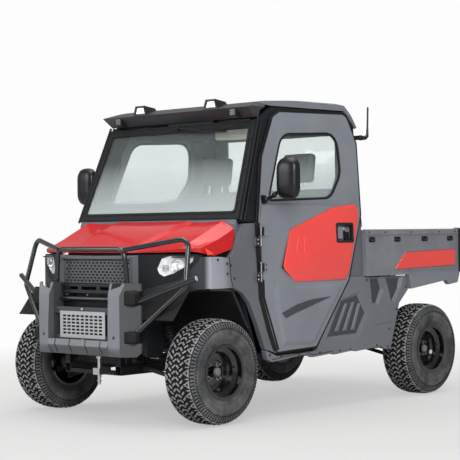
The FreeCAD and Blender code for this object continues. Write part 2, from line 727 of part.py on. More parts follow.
door_low = common("door_low", proud_wall, feature("door_low_form", ruled_shape(
    "X", PROUD_FOOT, S.waist_half - 12, PROUD_FACE, S.waist_half + S.door_proud + 2)))
door_panel = fuse("door_panel", common("door_flat", wall, door_blank), door_low)
door_open = cut("door_open", door_panel, window_hole)
rim_cut = common("insert_rim", scoop_wall, feature("insert_rim_form", bevelled_shape(
    "X", grown(INSERT, 49), S.waist_half + 14, S.waist_half - 2, 48)))
wedge_cut = feature("door_wedge", bevelled_shape("X", WEDGE, S.waist_half + 40, S.waist_half + 4, 9))
handle_cut = feature("handle_pocket", bevelled_shape(
    "X", box_loop(*handle_place, handle_wide, handle_tall), S.waist_half + 30, S.waist_half - 20, 4))
paddle = feature("handle_paddle",
                 bevelled_shape("X", box_loop(handle_place[0] - 42, handle_place[1], 66, 88),
                                                 S.waist_half - 22, S.waist_half - 2, 5))
insert_pocket = common("insert_pocket", insert_seat_wall, insert_bed)
door_seat = cut("door_seat", door_open, fuse("door_cuts", insert_pocket, rim_cut, wedge_cut, handle_cut))
hinges = []
HINGE_LEVELS = (900, 1120)
for level in HINGE_LEVELS:
    hinges.append(rod(f"hinge_barrel_{level}", (S.hinge_half, S.door_hinge, level), "Z", 64,
                      S.hinge_barrel / 2))
    hinges.append(block(f"hinge_leaf_{level}", (S.waist_half + 1, S.door_hinge, level + 4),
                        (S.hinge_half, S.door_front + 60, level + 60)))
    hinges.append(block(f"hinge_foot_{level}", (S.waist_half - 20, S.door_front + 22, level + 4),
                        (S.hinge_half, S.door_front + 60, level + 60)))
door_left = keep(fuse("door_left", door_seat, paddle, *hinges))
keep(mirrored("door_right", door_left))
insert_edge = S.waist_half - 7
insert_form = feature("insert_form", fused_shape([
    ruled_shape("X", INSERT, 640, INSERT, insert_edge),
    bevelled_shape("X", INSERT, insert_edge, insert_edge + 30, 14)]))
insert_left = keep(cut("door_insert_left",
                       common("insert_bulge", common("insert_body", bulge, seat_face), insert_form),
                       handle_cut))
keep(mirrored("door_insert_right", insert_left))
pane_left = keep(common("door_glass_left", glass_wall, pane_blank))
keep(mirrored("door_glass_right", pane_left))

mirror_back, mirror_face = S.mirror_station + 20, S.mirror_station - 34
shell_loop = box_loop(S.mirror_half, S.mirror_level, S.mirror_width, S.mirror_height)
shell = slab("mirror_shell", "XZ_Plane", [shell_loop], mirror_face, mirror_back,
             [(shell_loop[:2], 62), (shell_loop[2:], 46)])
shell_round = doc.addObject("Part::Fillet", "mirror_shell_round")
shell_round.Base = shell
doc.recompute()
shell_round.Edges = [(i + 1, 20, 20) for i, e in enumerate(shell.Shape.Edges)
                     if max(v.Y for v in e.Vertexes) < float(mirror_face) + 0.1]
foot_rise = 150
mirror_foot, foot_level = S.door_front + 60, S.belt_level + foot_rise
foot_half = S.belt_half + (S.eave_half - S.belt_half) * foot_rise / (S.eave_level - S.belt_level)
foot = block("mirror_foot", (foot_half - 9, mirror_foot - 18, foot_level - 24),
             (foot_half + 26, mirror_foot + 18, foot_level + 24))
arm = feature("mirror_arm", tube_shape([(foot_half + 14, mirror_foot, foot_level),
                                        (foot_half + 84, mirror_foot + 10, foot_level + 24),
                                        (S.mirror_half - 30, S.mirror_station, S.mirror_level - 30)], 22,
                                       24))
mirror_whole = fuse("mirror_whole", shell_round, arm, foot)
mirror_left = keep(cut("door_mirror_left", mirror_whole, door_left))
keep(mirrored("door_mirror_right", mirror_left))

# Cab frame: windscreen ring, side rings above the belt, header bars and the rear pillars
rake = S.windshield_rake
screen = [(-1 * S.screen_foot_half, 0), (S.screen_foot_half, 0), (S.screen_head_half, S.windshield_slope),
          (-1 * S.screen_head_half, S.windshield_slope)]
ring_in = S.screen_frame
screen_in = [(-1 * S.screen_foot_half + ring_in + 4, ring_in), (S.screen_foot_half - ring_in - 4, ring_in),
             (S.screen_head_half - ring_in, S.windshield_slope - ring_in),
             (-1 * S.screen_head_half + ring_in, S.windshield_slope - ring_in)]
seal = S.glass_gap
pane_in = [(-1 * S.screen_foot_half + ring_in + 4 + seal, ring_in + seal),
           (S.screen_foot_half - ring_in - 4 - seal, ring_in + seal),
           (S.screen_head_half - ring_in - seal, S.windshield_slope - ring_in - seal),
           (-1 * S.screen_head_half + ring_in + seal, S.windshield_slope - ring_in - seal)]
screen_ring = slab("screen_ring", "XZ_Plane", [screen, screen_in], 0, 34)
screen_pane = slab("screen_pane", "XZ_Plane", [pane_in], 8, 8 + S.glass)
for made in (screen_ring, screen_pane):
    lean(made, (0, S.windshield_foot, S.windshield_foot_level), rake)
SIDE_RING = [(-822, 1212), (-572, 1862), (-480, 1918), (-440, 1940), (300, 1944), (392, 1850), (398, 1180),
             (379, 1166),
             (379, 852), (190, 852), (330, 1206)]
side_ring = common("side_ring", frame_wall, side_slab("side_ring_outline", SIDE_RING))
ring_open = cut("side_ring_open", side_ring, door_hole)
ring_right = mirrored("side_ring_right", ring_open)
header_half, header_size = S.eave_half - 42, 44
header = [block(f"header_{name}", (-1 * header_half, y, level),
                (header_half, y + header_size, level + header_size))
          for name, y, level in (("front", -560, S.eave_level - 65), ("middle", -60, S.eave_level - 35),
                                 ("rear", 284, S.eave_level - 57))]
keep(fuse("cab_frame", screen_ring, ring_open, ring_right, *header))

# Roof: a moulded shell over the frame, its visor in front and the lamps on it
ROOF = [(-489, 1950), (-489, 1975), (-120, 1998), (290, S.roof_level), (322, 1990), (420, 1846),
        (404, 1838),
        (300, 1952), (-440, 1946)]
roof_plan = slab("roof_plan", "XZ_Plane", [[
    (S.eave_half + 2, 1800), (S.eave_half - 6, 1925), (S.eave_half - 30, S.roof_level - 14),
    (S.eave_half - 90, S.roof_level + 4),
    (S.eave_half * -1 + 90, S.roof_level + 4), (S.eave_half * -1 + 30, S.roof_level - 14),
    (S.eave_half * -1 + 6, 1925), (S.eave_half * -1 - 2, 1800)]], -700, 500)
roof_side = slab("roof_side", "YZ_Plane", [ROOF], -700, 700)
keep(common("roof_shell", roof_plan, roof_side))
VISOR = [(-672, 1928), (-566, 1963), (-489.3, 1975), (-489.3, 1950), (-560.3, 1912), (-560.3, 1872),
         (-603, 1866)]
visor_front = slab("visor_front", "XZ_Plane", [[
    (24 - S.eave_half, 1850), (-1 * S.eave_half - 4, 1934), (104 - S.eave_half, 1980),
    (S.eave_half - 104, 1980),
    (S.eave_half + 4, 1934), (S.eave_half - 24, 1850)]], -700, -400)
visor = keep(common("roof_visor", slab("visor_side", "YZ_Plane", [VISOR], -700, 700), visor_front))
POD_FRONT = [(-62, 1932), (-42, 1996), (42, 1996), (62, 1932)]
POD_REAR = [(-46, 1960), (-30, 1984), (30, 1984), (46, 1960)]
pod_front, pod_rear, pod_offset, small_lamp_offset = -654, -540, 323, 523
lamps = []
for side in (-1, 1):
    shift = pod_offset * side
    pod = ruled_shape("Y", [(x + shift, z) for x, z in POD_FRONT], pod_front,
                      [(x + shift, z) for x, z in POD_REAR], pod_rear)
    lens_well = bevelled_shape("Y", [(x * 0.82 + shift, 1964 + (z - 1964) * 0.74) for x, z in POD_FRONT],
                               pod_front - 1,
                               pod_front + 14, 3)
    lamps.append(cut(f"roof_pod_{side}", feature(f"pod_form_{side}", pod),
                     feature(f"pod_well_{side}", lens_well)))
    middle = small_lamp_offset * side
    for number in range(4):
        low = 1868 + 17 * number
        lamps.append(block(f"lamp_rib_{side}_{number}", (middle - 30, -662, low),
                           (middle + 30, -590, low + 11)))
    lamps.append(block(f"lamp_body_{side}", (middle - 26, -656, 1868), (middle + 26, -590, 1934)))
keep(cut("roof_lamps", fuse("lamp_forms", *lamps), visor))

# Rear of the cab: panel with its window, antenna on a bracket at the left
REAR = [(361, S.sill_top - 22), (385, S.sill_top - 22), (385, 1164), (406, 1182), (402, 1836), (386, 1836),
        (386, 1190), (361, 1170)]
rear_half, rear_top_half = S.belt_half - 79.3, S.eave_half - 73.4
window_half, window_low, window_high = S.eave_half - 164, S.belt_level + 240, S.eave_level - 125
rear_wall = common("rear_wall", slab("rear_section", "YZ_Plane", [REAR], -640, 640),
                   slab("rear_outline", "XZ_Plane", [[
                       (rear_half, 300), (rear_half, S.belt_level), (rear_top_half, 1862),
                       (-1 * rear_top_half, 1862),
                       (-1 * rear_half, S.belt_level), (-1 * rear_half, 300)]], 300, 500))
rear_window = block("rear_window_hole", (-1 * window_half, 340, window_low),
                    (window_half, 440, window_high))
keep(cut("rear_panel", rear_wall, rear_window))
rear_pane = block("rear_pane", (S.glass_gap - window_half, 390, window_low + S.glass_gap),
                  (window_half - S.glass_gap, 390 + S.glass, window_high - S.glass_gap))
glass = doc.addObject("Part::Compound", "cab_glass")
glass.Links = [screen_pane, rear_pane]
keep(glass)
mast_half, mast_level, bracket_face = S.eave_half + 48, S.eave_level - 150, 393.2
mast = [Part.makeBox(100, 5, 30, point((mast_half - 87, bracket_face, mast_level - 15))),
        Part.makeBox(26, 34, 24, point((mast_half - 13, bracket_face + 3, mast_level - 12))),
        tube_shape([(mast_half, 415, mast_level), (mast_half, 470, mast_level),
                    (mast_half, 478, S.roof_level - 19)], 7, 12)]
keep(feature("antenna", fused_shape(mast)))

# Floor, toe board, seat base and rear bulkhead as one moulded tub
low, top, plate = S.sill_top - 24, S.floor_top, S.floor_plate
TUB = [(-812, 832), (-790, 832), (-640, top), (-400, top), (-380, 780), (330, 780), (330, top),
       (360.7, top), (360.7, top - plate),
       (312, top - plate), (312, 762), (-364, 762), (-384, top - plate), (-652, top - plate)]
tub_half, edge_half = S.sill_half - 50, S.sill_half - 34
tub_edges = [block("tub_edge_right", (-1 * edge_half, -560, top - plate), (-1 * tub_half, 350, top)),
             block("tub_edge_left", (tub_half, -560, top - plate), (edge_half, 350, top))]
keep(fuse("floor_tub", slab("tub_moulding", "YZ_Plane", [TUB], -1 * tub_half, tub_half), *tub_edges))
DASH = [(-824, 850), (-811.7, 1168), (-796, 1190), (-660, 1226), (-600, 1190), (-580, 1060), (-640, 1000),
        (-710, 850)]
column_hole = feature("column_hole", Part.makeCylinder(34, 470, wheel_centre, column_along))
keep(cut("dashboard", slab("dash_moulding", "YZ_Plane", [DASH], -640, 640), column_hole))

seats = doc.addObject("Part::Compound", "seats")
seat_pieces = []
recline, back_height = 8, 650
for side in (-1, 1):
    x, half = S.seat_spacing / 2 * side, S.seat_width / 2
    seat_pieces.append(block(f"cushion_{side}", (x - half, -500, 780.3), (x + half, -26, 895)))
    back = block(f"back_{side}", (x - half + 10, 0, 0), (x + half - 10, 110, back_height))
    rest = fuse(f"rest_{side}", block(f"rest_pad_{side}", (-135, 20, back_height + 40),
                                      (135, 100, back_height + 250)),
                *[rod(f"rest_post_{side}_{way}", (60 * way, 60, back_height + 0.3), "Z", 60, 6)
                  for way in (-1, 1)])
    lean(back, (x - half + 10, -20, 796), recline)
    lean(rest, (x, -20, 796), recline)
    seat_pieces += [back, rest]
seats.Links = seat_pieces
keep(seats)

# Side panels behind and below the door, with the sill
PANEL = [(-560, 340), (-228, 366), (-157, 342), (48, 354), (63, 344), (283, 360), (291, 350), (575, 366),
         (600, 346),
         (673, 343), (774, 651), (876, 741), (846, 838), (379, 838), (379, 846), (190, 846), (-127, 380),
         (-507, 372),
         (-624, 418), (-604, 362)]
RECESS_RIM = [(120, 700), (326, 756), (457, 602), (320, 414), (-56, 424)]
RECESS_FLOOR = [(146, 688), (313, 722), (395, 600), (301, 470), (2, 462)]
LOUVRE = [((180, 676), (66, 492)), ((255, 682), (152, 492)), ((322, 672), (238, 492))]
SCOOPS = [[(437, 840), (566, 840), (604, 755), (540, 646), (466, 640)],
          [(612, 840), (820, 840), (793, 749), (724, 652), (683, 655)]]
CREASE = [(471, 500), (560, 527), (698, 529), (673, 512), (566, 511)]
recess_depth = 15
panel_cuts = [feature("panel_recess", ruled_shape("X", RECESS_RIM, S.waist_half + 2, RECESS_FLOOR,
                                                  S.waist_half - recess_depth)),
              feature("panel_crease", bevelled_shape("X", CREASE, S.waist_half + 2, S.waist_half - 7, 3))]
for number, scoop in enumerate(SCOOPS):
    panel_cuts.append(feature(f"panel_scoop_{number}",
                              bevelled_shape("X", scoop, S.waist_half + 2, S.waist_half - 24, 20)))
panel_wall = cut("side_panel_open", common("side_panel_wall", wall, side_slab("side_panel_outline", PANEL)),
                 door_hole)
louvres = []
for number, (high, low) in enumerate(LOUVRE):
    slat = [(low[0], low[1]), (low[0] + 40, low[1] - 6), (high[0] + 34, high[1]), (high[0], high[1])]
    louvres.append(feature(f"louvre_{number}",
                           bevelled_shape("X", slat, S.waist_half - recess_depth - 4, S.waist_half - 6, 8)))
panel_left = fuse("side_panel_left", cut("side_panel_formed", panel_wall, fuse("panel_cuts", *panel_cuts)),
                  *louvres)
keep(both_sides("side_panels", panel_left))

# Cowl: pillar panels between hood and door, joined across below the windscreen
COWL = [(-626, 424), (-513, 392), (-640, 742), (-655, 1206), (-806, 1200), (-888, 1038), (-938, 992),
        (-932, 879),
        (-914, 813.5), (-907, 813), (-831, 780), (-767, 717), (-691, 573)]
cowl_panel = cut("cowl_open", common("cowl_wall", wall, side_slab("cowl_outline", COWL)), door_hole)
cowl_right = mirrored("cowl_right", cowl_panel)
bulkhead = slab("cowl_bulkhead", "YZ_Plane",
                [[(-850, 832.3), (-825, 832.3), (-812, 1170), (-838, 1228), (-850, 1200)]],
                39 - S.waist_half, S.waist_half - 39)
cowl_hinges = []
for side in (-1, 1):
    for level in HINGE_LEVELS:
        near, far = sorted(((S.waist_half - 20) * side, S.hinge_half * side), key=float)
        cowl_hinges.append(block(f"cowl_leaf_{side}_{level}", (near, S.door_hinge - 44, level - 56),
                                 (far, S.door_hinge, level - 4)))
        cowl_hinges.append(rod(f"cowl_barrel_{side}_{level}",
                               (S.hinge_half * side, S.door_hinge, level - 60), "Z", 59.7,
                               S.hinge_barrel / 2))
hood_bores = [rod(f"hood_bore_{x}", (x - 0.5, S.hood_rear + 2, 1212), "X", 101, 6.3) for x in (-300, 200)]
keep(cut("cowl", fuse("cowl_whole", cowl_panel, cowl_right, bulkhead, *cowl_hinges),
         fuse("hood_bores", *hood_bores)))

# Nose: one wall that follows the front in plan and turns into the sides; fascia and fenders are parts of it
nose = S.nose_front
NOSE_OUT = [(0, nose), (S.grille_half, nose + 12), (463, nose + 62), (640, nose + 140), (715, nose + 190),
            (745, nose + 245)]
NOSE_IN = [(711, nose + 252), (690, nose + 215), (625, nose + 164), (452, nose + 88),
           (S.grille_half - 4, nose + 38), (0, nose + 26)]
nose_wall = slab("nose_wall", "XY_Plane", [NOSE_OUT + NOSE_IN], 380, 1060)
FASCIA = [(-1, 820), (-1, 1020), (692, 1020), (704, 985), (660, 930), (596, 868), (380, 809), (380, 719),
          (400, 719), (400, 404), (330, 440), (262, 640), (262, 820)]
FENDER_BAND = [(380.3, 719.7), (380.3, 808.7), (596.2, 867.7), (660.2, 929.6), (704.3, 984.8),
               (704.3, 1003.7), (790, 1003.7), (790, 820), (700, 812), (501.3, 752.4)]
LAMP = [(463, 936), (474, 905), (502, 888), (560, 906), (640, 952), (672, 980), (676, 1010), (577, 1012),
        (537, 1012), (490, 996)]

# Front fenders: panels round the wheel arches with an inner liner, and a band that runs under the headlamp
FENDER = [(-914.3, 813), (-932.3, 879), (-938.3, 992), (-1010, 1002), (-1052, 1003), (-1088, 1003),
          (-1092, 966), (-1106, 956),
          (-1106, 812)]
fender_wall = common("fender_wall", wall, side_slab("fender_outline", FENDER))
fender_band = common("fender_band", nose_wall,
                     slab("fender_band_outline", "XZ_Plane", [FENDER_BAND], -1400, -1000))
liner_side = slab("liner_side", "YZ_Plane",
                  [[(-1390, 640), (-1250, 812), (-880, 790), (-745, 560), (-732, 560), (-872, 804),
                    (-1252, 826),
                                              (-1400, 650)]], 345, 740)
liner_plan = slab("liner_plan", "XY_Plane",
                  [[(300, nose + 42), (452, nose + 92), (625, nose + 168), (690, nose + 219),
                    (705, nose + 230),
                                              (705, -1104), (740, -1104), (740, -940), (705, -940),
                    (705, -700), (300, -700)]], 500, 900)
fender_left = fuse("fender_left", fender_wall, fender_band, common("arch_liner", liner_side, liner_plan))
keep(both_sides("front_fenders", fender_left))

# Front fascia: open for grille, lamps and the radiator
fascia_left = common("fascia_left", nose_wall, slab("fascia_outline", "XZ_Plane", [FASCIA], -1400, -1000))
splash_left = block("splash_panel", (388, nose + 45, 404), (400, nose + 173, 719))
fascia_side = fuse("fascia_side", fascia_left, splash_left)
fascia = fuse("fascia_wall", fascia_side, mirrored("fascia_right", fascia_side))
mesh_half, mesh_low, mesh_high = S.grille_half - 20, S.grille_bottom, S.grille_top
grille_hole = block("grille_hole", (-1 * mesh_half, -1500, mesh_low), (mesh_half, -1200, mesh_high))
lamp_hole = slab("lamp_hole", "XZ_Plane", [LAMP], -1500, -1100)
lamp_holes = fuse("lamp_holes", lamp_hole, mirrored("lamp_hole_right", lamp_hole))
fascia_open = keep(cut("fascia_open", cut("fascia_mesh_open", fascia, grille_hole), lamp_holes),
                   "front_fascia")
lamp_plan = slab("lamp_plan", "XY_Plane",
                 [[(440, nose + 52), (463, nose + 60), (640, nose + 138), (715, nose + 188),
                   (700, nose + 240),
                                            (440, nose + 100)]], 800, 1100)
lamp = common("lamp_left", lamp_plan, slab("lamp_front", "XZ_Plane", [grown(LAMP, -0.3)], -1500, -1000))
keep(both_sides("headlamps", lamp))
keep(block("radiator", (-222, nose + 40, rail_top + 0.3), (222, nose + 84, 790)))

# Upper grille: a mesh of staggered slots in a bevelled surround
mesh_rows, mesh_columns, slot_wide, slot_tall = 7, 17, 25, 12


def staggered_slots():
    """Six-sided slots in rows, every other row moved by half a pitch."""
    pitch_x = float(2 * mesh_half - 16) / mesh_columns
    pitch_z = float(mesh_high - mesh_low - 10) / mesh_rows
    slots = []
    for row in range(mesh_rows):
        odd = row % 2
        z = float(mesh_low) + 5 + pitch_z * (row + 0.5)
        for column in range(mesh_columns - odd):
            x = (column - (mesh_columns - 1 - odd) / 2) * pitch_x
            half, flat, tall = slot_wide / 2, slot_wide / 2 - 5, slot_tall / 2
            slots.append([(x - half, z), (x - flat, z + tall), (x + flat, z + tall), (x + half, z),
                          (x + flat, z - tall), (x - flat, z - tall)])
    return slots


mesh_outline = [(0.3 - mesh_half, mesh_low + 0.3), (mesh_half - 0.3, mesh_low + 0.3),
                (mesh_half - 0.3, mesh_high - 0.3), (0.3 - mesh_half, mesh_high - 0.3)]
keep(feature("grille", pierced_shape(mesh_outline, staggered_slots(), nose + 4, 12)))
ring_half, ring_low, ring_high = S.grille_half + 27, S.grille_bottom - 6, S.grille_top + 37
surround_loop = [(-1 * ring_half, ring_low), (ring_half, ring_low), (ring_half, ring_high), (-1 * ring_half, ring_high)]
surround_open = [(-1 * mesh_half + 2, mesh_low + 2), (mesh_half - 2, mesh_low + 2),
                 (mesh_half - 2, mesh_high - 2), (-1 * mesh_half + 2, mesh_high - 2)]
surround_face = nose - 16
surround = cut("surround_ring",
               feature("surround_form", bevelled_shape("Y", surround_loop, nose + 26, surround_face, 12)),
               feature("surround_hole", bevelled_shape("Y", grown(surround_open, 14), surround_face - 1,
                                                       nose + 30, 14)))
clear_half = ring_half + 48
surround_clear = slab("surround_clear", "XY_Plane", [[
    (-1 * clear_half, nose + 60), (-1 * clear_half, nose + 37), (-1 * S.grille_half, nose + 11.7), (0, nose - 0.3),
    (S.grille_half, nose + 11.7), (clear_half, nose + 37), (clear_half, nose + 60)]], 800, 1060)
keep(cut("grille_surround", surround, surround_clear))

# Lower grille between the bumper's uprights: a slotted bar over a tube
lower_half, bar_front = S.bumper_inner - 14.3, -1410
bar_slots = [box_loop(x, 816, 138, 22) for x in (-168, 0, 168)]
slotted_bar = pierced_shape([(-1 * lower_half, 786), (lower_half, 786), (lower_half, 840),
                             (-1 * lower_half, 840)], bar_slots, bar_front, 14)
lower_tube = Part.makeCylinder(13, 2 * float(lower_half), point((-1 * lower_half, bar_front - 2, 752)),
                               Vector(1, 0, 0))
keep(feature("lower_grille", Part.makeCompound([slotted_bar, lower_tube])))

# Front bumper: two chamfered uprights and the valance between their feet
front = S.bumper_front
UPRIGHT = [(S.bumper_inner - 14, front + 40), (S.bumper_inner, front + 6), (S.bumper_outer, front + 14),
           (452, front + 108), (452, front + 120),
           (S.bumper_outer - 10, front + 34), (S.bumper_inner + 8, front + 26),
           (S.bumper_inner + 8, front + 118), (S.bumper_inner - 14, front + 118)]
plate_plan = slab("bumper_plan", "XY_Plane", [UPRIGHT], S.bumper_bottom, S.bumper_top)
plate_side = slab("bumper_side", "YZ_Plane",
                  [[(front, 470), (front + 14, 780), (front + 40, S.bumper_top),
                    (front + 130, S.bumper_top),
                                              (front + 130, 470), (front + 90, S.bumper_bottom),
                    (front + 20, S.bumper_bottom)]], 200, 500)
plate_left = common("bumper_left", plate_plan, plate_side)
valance = slab("valance", "YZ_Plane",
               [[(front + 8, 506), (front + 26, 506), (front + 40, 430), (front + 122, 424),
                 (front + 122, 415), (front + 30, 415), (front, 470)]],
               -1 * S.bumper_inner, S.bumper_inner)
bars = [block(f"guard_bar_{z}", (-264, S.screen_plate_front + 4.3, z),
              (264, S.screen_plate_front + 24, z + 40)) for z in (488, 662)]
foot_low, foot_high = 420, 480
feet = [block(f"bumper_foot_{side}", (rail_half * side - 20, front + 110, foot_low),
              (rail_half * side + 20, S.frame_front - 0.3, foot_high))
        for side in (-1, 1)]
stub_pocket = block("stub_pocket", (388, -1520, 722), (480, -1370, 806))
foot_pocket = block("foot_pocket", (384, -1520, 496), (480, -1370, 566))
rib_left = block("guard_rib", (S.bumper_outer - 16, front + 30, 470),
                 (S.bumper_outer + 6, front + 118, 800))
side_left = fuse("bumper_side_left", cut("bumper_plate_open", plate_left,
                                         fuse("guard_pockets", stub_pocket, foot_pocket)), rib_left)
grooves = [feature(f"valance_groove_{x}",
                   ruled_shape("Y", box_loop(x, 460, 16, 110), front - 2, box_loop(x, 460, 8, 110),
                               front + 16))
           for x in (-205, -72, 72, 205)]
lip_grooves = [block(f"valance_lip_{x}", (x - 5, front + 4, 410), (x + 5, front + 28, 452))
               for x in (-205, -72, 72, 205)]
valance_ribbed = cut("valance_ribbed", valance,
                     common("groove_band", fuse("valance_grooves", *grooves, *lip_grooves), slab(
    "groove_depth", "YZ_Plane",
    [[(front - 10, 506), (front + 13, 506), (front + 6, 470), (front + 34, 421), (front + 20, 400),
      (front - 10, 400)]], -300, 300)))
bumper = keep(fuse("front_bumper", side_left, mirrored("bumper_right", side_left), valance_ribbed, *feet,
                   *bars))
plate_rows, plate_columns = 6, 9
plate_wide, plate_tall = 2 * S.screen_plate_half, S.screen_plate_top - S.screen_plate_bottom
plate_level = (S.screen_plate_top + S.screen_plate_bottom) / 2
plate_holes = [box_loop((column - (plate_columns - 1) / 2) * 41,
                        float(plate_level) + (row - (plate_rows - 1) / 2) * 21, 29, 12)
               for row in range(plate_rows) for column in range(plate_columns)]
keep(feature("radiator_guard", pierced_shape(box_loop(0, plate_level, plate_wide, plate_tall), plate_holes,
                                             S.screen_plate_front, 4)))

# Brush guard: centre hoop, outer loops round the lamps, and the cross stubs
guard = S.guard_tube
corner = (S.hoop_half - 6, S.hoop_front, S.hoop_top)
hoop = [(322, -1388, S.bumper_top + 0.3), corner, (-1 * (S.hoop_half - 6), S.hoop_front, S.hoop_top),
        (-322, -1388, S.bumper_top + 0.3)]
loop = [(296, -1392, S.hoop_top - 4), (694, -1238, 1118), (728, -1306, 828), (364, -1450, 496)]
stub = [(364, -1453, 712), (796, -1287, 882)]
left_side = [tube_shape(loop, guard, S.guard_bend), tube_shape(stub, guard)]
guard_tubes = feature("guard_tubes", fused_shape([tube_shape(hoop, guard, S.guard_bend)] + left_side
                                                 + [mirror_shape(s) for s in left_side]))
keep(cut("brush_guard", guard_tubes, bumper))

# Tow pin at the front
tow_side, tow_station = 138, S.bumper_front + 57
keep(fuse("front_hitch", block("tow_bracket", (tow_side - 28, tow_station - 25, 300),
                               (tow_side + 28, S.frame_front - 0.3, 340)),
          rod("tow_pin", (tow_side, tow_station, 240), "Z", 160, 10),
          rod("tow_pin_head", (tow_side, tow_station, 398), "Z", 12, 18)))

# Hood: creased shell from the windscreen to the lamps
HOOD = [
    (-1400, [(0, 1014), (236, 1014), (276, 1004), (440, 1000), (600, 990), (700, 975), (712, 900)]),
    (-1200, [(0, 1096), (268, 1096), (312, 1084), (450, 1076), (600, 1064), (700, 1040), (722, 980)]),
    (-1048, [(0, 1158), (292, 1158), (340, 1144), (470, 1137), (606, 1132), (700, 1088), (738, 960)]),
    (-790, [(0, 1232), (330, 1240), (384, 1230), (500, 1236), (616, 1251), (700, 1214), (748, 960)]),
]


def hood_form(drop):
    """The hood's outer form, or the hollow under it."""
    sections = []
    for y, half in HOOD:
        line = [(x * (1 - drop / 800), z - drop) for x, z in half]
        line[-1] = (line[-1][0], line[-1][1] - 100)
        ring = line + [(-x, z) for x, z in reversed(line) if x > 0]
        sections.append([(x, y, z) for x, z in ring])
    return loft_shape(sections)


hood_outer = feature("hood_outer", hood_form(0))
hood_inner = feature("hood_inner", hood_form(float(S.hood_skin)))
hood_plan = slab("hood_plan", "XY_Plane", [[
    (0, nose + 2), (S.grille_half, nose + 14), (463, nose + 64), (640, nose + 142), (704, nose + 202),
    (780, nose + 330), (780, -780),
    (712, -780), (712, -856), (-712, -856), (-712, -780), (-780, -780), (-780, nose + 330),
    (-704, nose + 202), (-640, nose + 142),
    (-463, nose + 64), (-1 * S.grille_half, nose + 14)]], 800, 1400)
hood_side = slab("hood_side", "YZ_Plane",
                 [[(-1400, 1028), (-1180, 1036), (-1050, 1008), (-896, 1046), (-818, 1200), (-858, 1212),
                                            (-858, 1300), (-1400, 1300)]], -900, 900)
hood_shell = cut("hood_shell", hood_outer, hood_inner)
hood_trim = common("hood_trim", common("hood_cut", hood_shell, hood_plan), hood_side)
hinge_line, hinge_level = S.hood_rear + 2, 1212
hood_hinge = []
for x in (-300, 200):
    hood_hinge.append(rod(f"hood_barrel_{x}", (x, hinge_line, hinge_level), "X", 100, 6))
    hood_hinge.append(block(f"hood_leaf_{x}", (x, hinge_line - 12, hinge_level - 6),
                            (x + 100, hinge_line, hinge_level + 6)))
keep(fuse("hood", hood_trim, *hood_hinge))

# Load bed, its skirts, lamps and tailgate
half, floor_top_level = S.bed_half, S.bed_bottom + S.bed_floor
gate_low, gate_front = S.bed_bottom + 16, S.bed_rear + 6
gate_rear = gate_front + S.tailgate_wall
gate_pivot, gate_pivot_level = gate_front + S.tailgate_wall / 2, gate_low + S.tailgate_wall / 2
STRIPE = [(712, 882), (839, 999), (1444, 1013), (1442, 896)]
rail_drop, rail_proud, pocket_deep = 34, 7, 9
side_face = half - rail_proud
bed_parts = [
    block("bed_floor", (-1 * side_face, S.bed_front, S.bed_bottom),
          (side_face, S.bed_rear, floor_top_level)),
    block("bed_head", (-1 * side_face, S.bed_front, S.bed_bottom),
          (side_face, S.bed_front + S.bed_wall, S.bed_top)),
]
side_left = block("bed_side", (half - S.bed_wall, S.bed_front, S.bed_bottom),
                  (side_face, S.bed_rear, S.bed_top))
stripe_seat = slab("stripe_seat", "YZ_Plane", [grown(STRIPE, 0.3)], side_face - 4, side_face + 4)
pockets = [feature(f"tie_pocket_{y}", bevelled_shape("X", box_loop(y, 1090, 84, 40), side_face + 2,
                                                     side_face - pocket_deep, 5))
           for y in (462, 752, 1074, 1390)]
side_open = cut("bed_side_open", side_left, fuse("bed_side_cuts", stripe_seat, *pockets))
rail_left = block("bed_rail", (half - S.bed_wall - 6, S.bed_front, S.bed_top - rail_drop),
                  (half, S.bed_rear, S.bed_top))
lip_left = block("bed_lip", (side_face - 2, S.bed_front, S.bed_bottom),
                 (half, S.bed_rear, S.bed_bottom + 20))
bed_left = fuse("bed_left", side_open, rail_left, lip_left)
bed_parts += [bed_left, mirrored("bed_right", bed_left)]
for side in (-1, 1):
    low, high = sorted(((half + 2) * side, (half - 40) * side), key=float)
    bed_parts.append(block(f"bed_post_{side}", (low, S.bed_rear, S.bed_bottom),
                           (high, S.bed_rear + 40, S.bed_top + 6)))
    low, high = sorted(((rail_half + 24) * side, (rail_half + 34) * side), key=float)
    lug = block(f"bed_lug_{side}", (low, S.bed_pivot - 20, S.bed_pivot_level - 20),
                (high, S.bed_pivot + 20, S.bed_bottom))
    bore = rod(f"bed_lug_bore_{side}", (low - 1, S.bed_pivot, S.bed_pivot_level), "X", 12,
               S.bed_pin / 2 + 0.3)
    bed_parts.append(cut(f"bed_lug_open_{side}", lug, bore))
    start = half - 58 if side > 0 else -1 * half + 38
    bed_parts.append(rod(f"gate_pin_{side}", (start, gate_pivot, gate_pivot_level), "X", 20,
                         S.gate_pin / 2))
for number in range(7):
    x = (number - 3) * 190
    bed_parts.append(block(f"bed_floor_rib_{number}", (x - 40, S.bed_front + 60, S.bed_bottom - 9),
                           (x + 40, S.bed_rear - 30, S.bed_bottom)))
keep(fuse("bed_box", *bed_parts))
stripe = feature("bed_stripe", bevelled_shape("X", STRIPE, side_face - 3.7, side_face + 5, 4))
keep(both_sides("bed_stripes", stripe))
skirt = slab("skirt_left", "YZ_Plane",
             [[(866, S.bed_bottom - 0.3), (896, 745), (1325, 792), (1360, 760), (1468, 772),
                                         (1496, S.bed_bottom - 0.3)]], half - 34, half)
keep(both_sides("bed_skirts", skirt))
lamp_tail = block("tail_lamp", (half - 34, S.bed_rear + 40.3, 900), (half - 4, S.bed_rear + 48, 1010))
keep(both_sides("tail_lamps", lamp_tail))
gate_half, gate_top = half - 46, S.bed_top - 6
gate_corners = [(gate_front, gate_low), (gate_front, gate_top), (gate_rear, gate_top),
                (gate_rear, gate_low)]
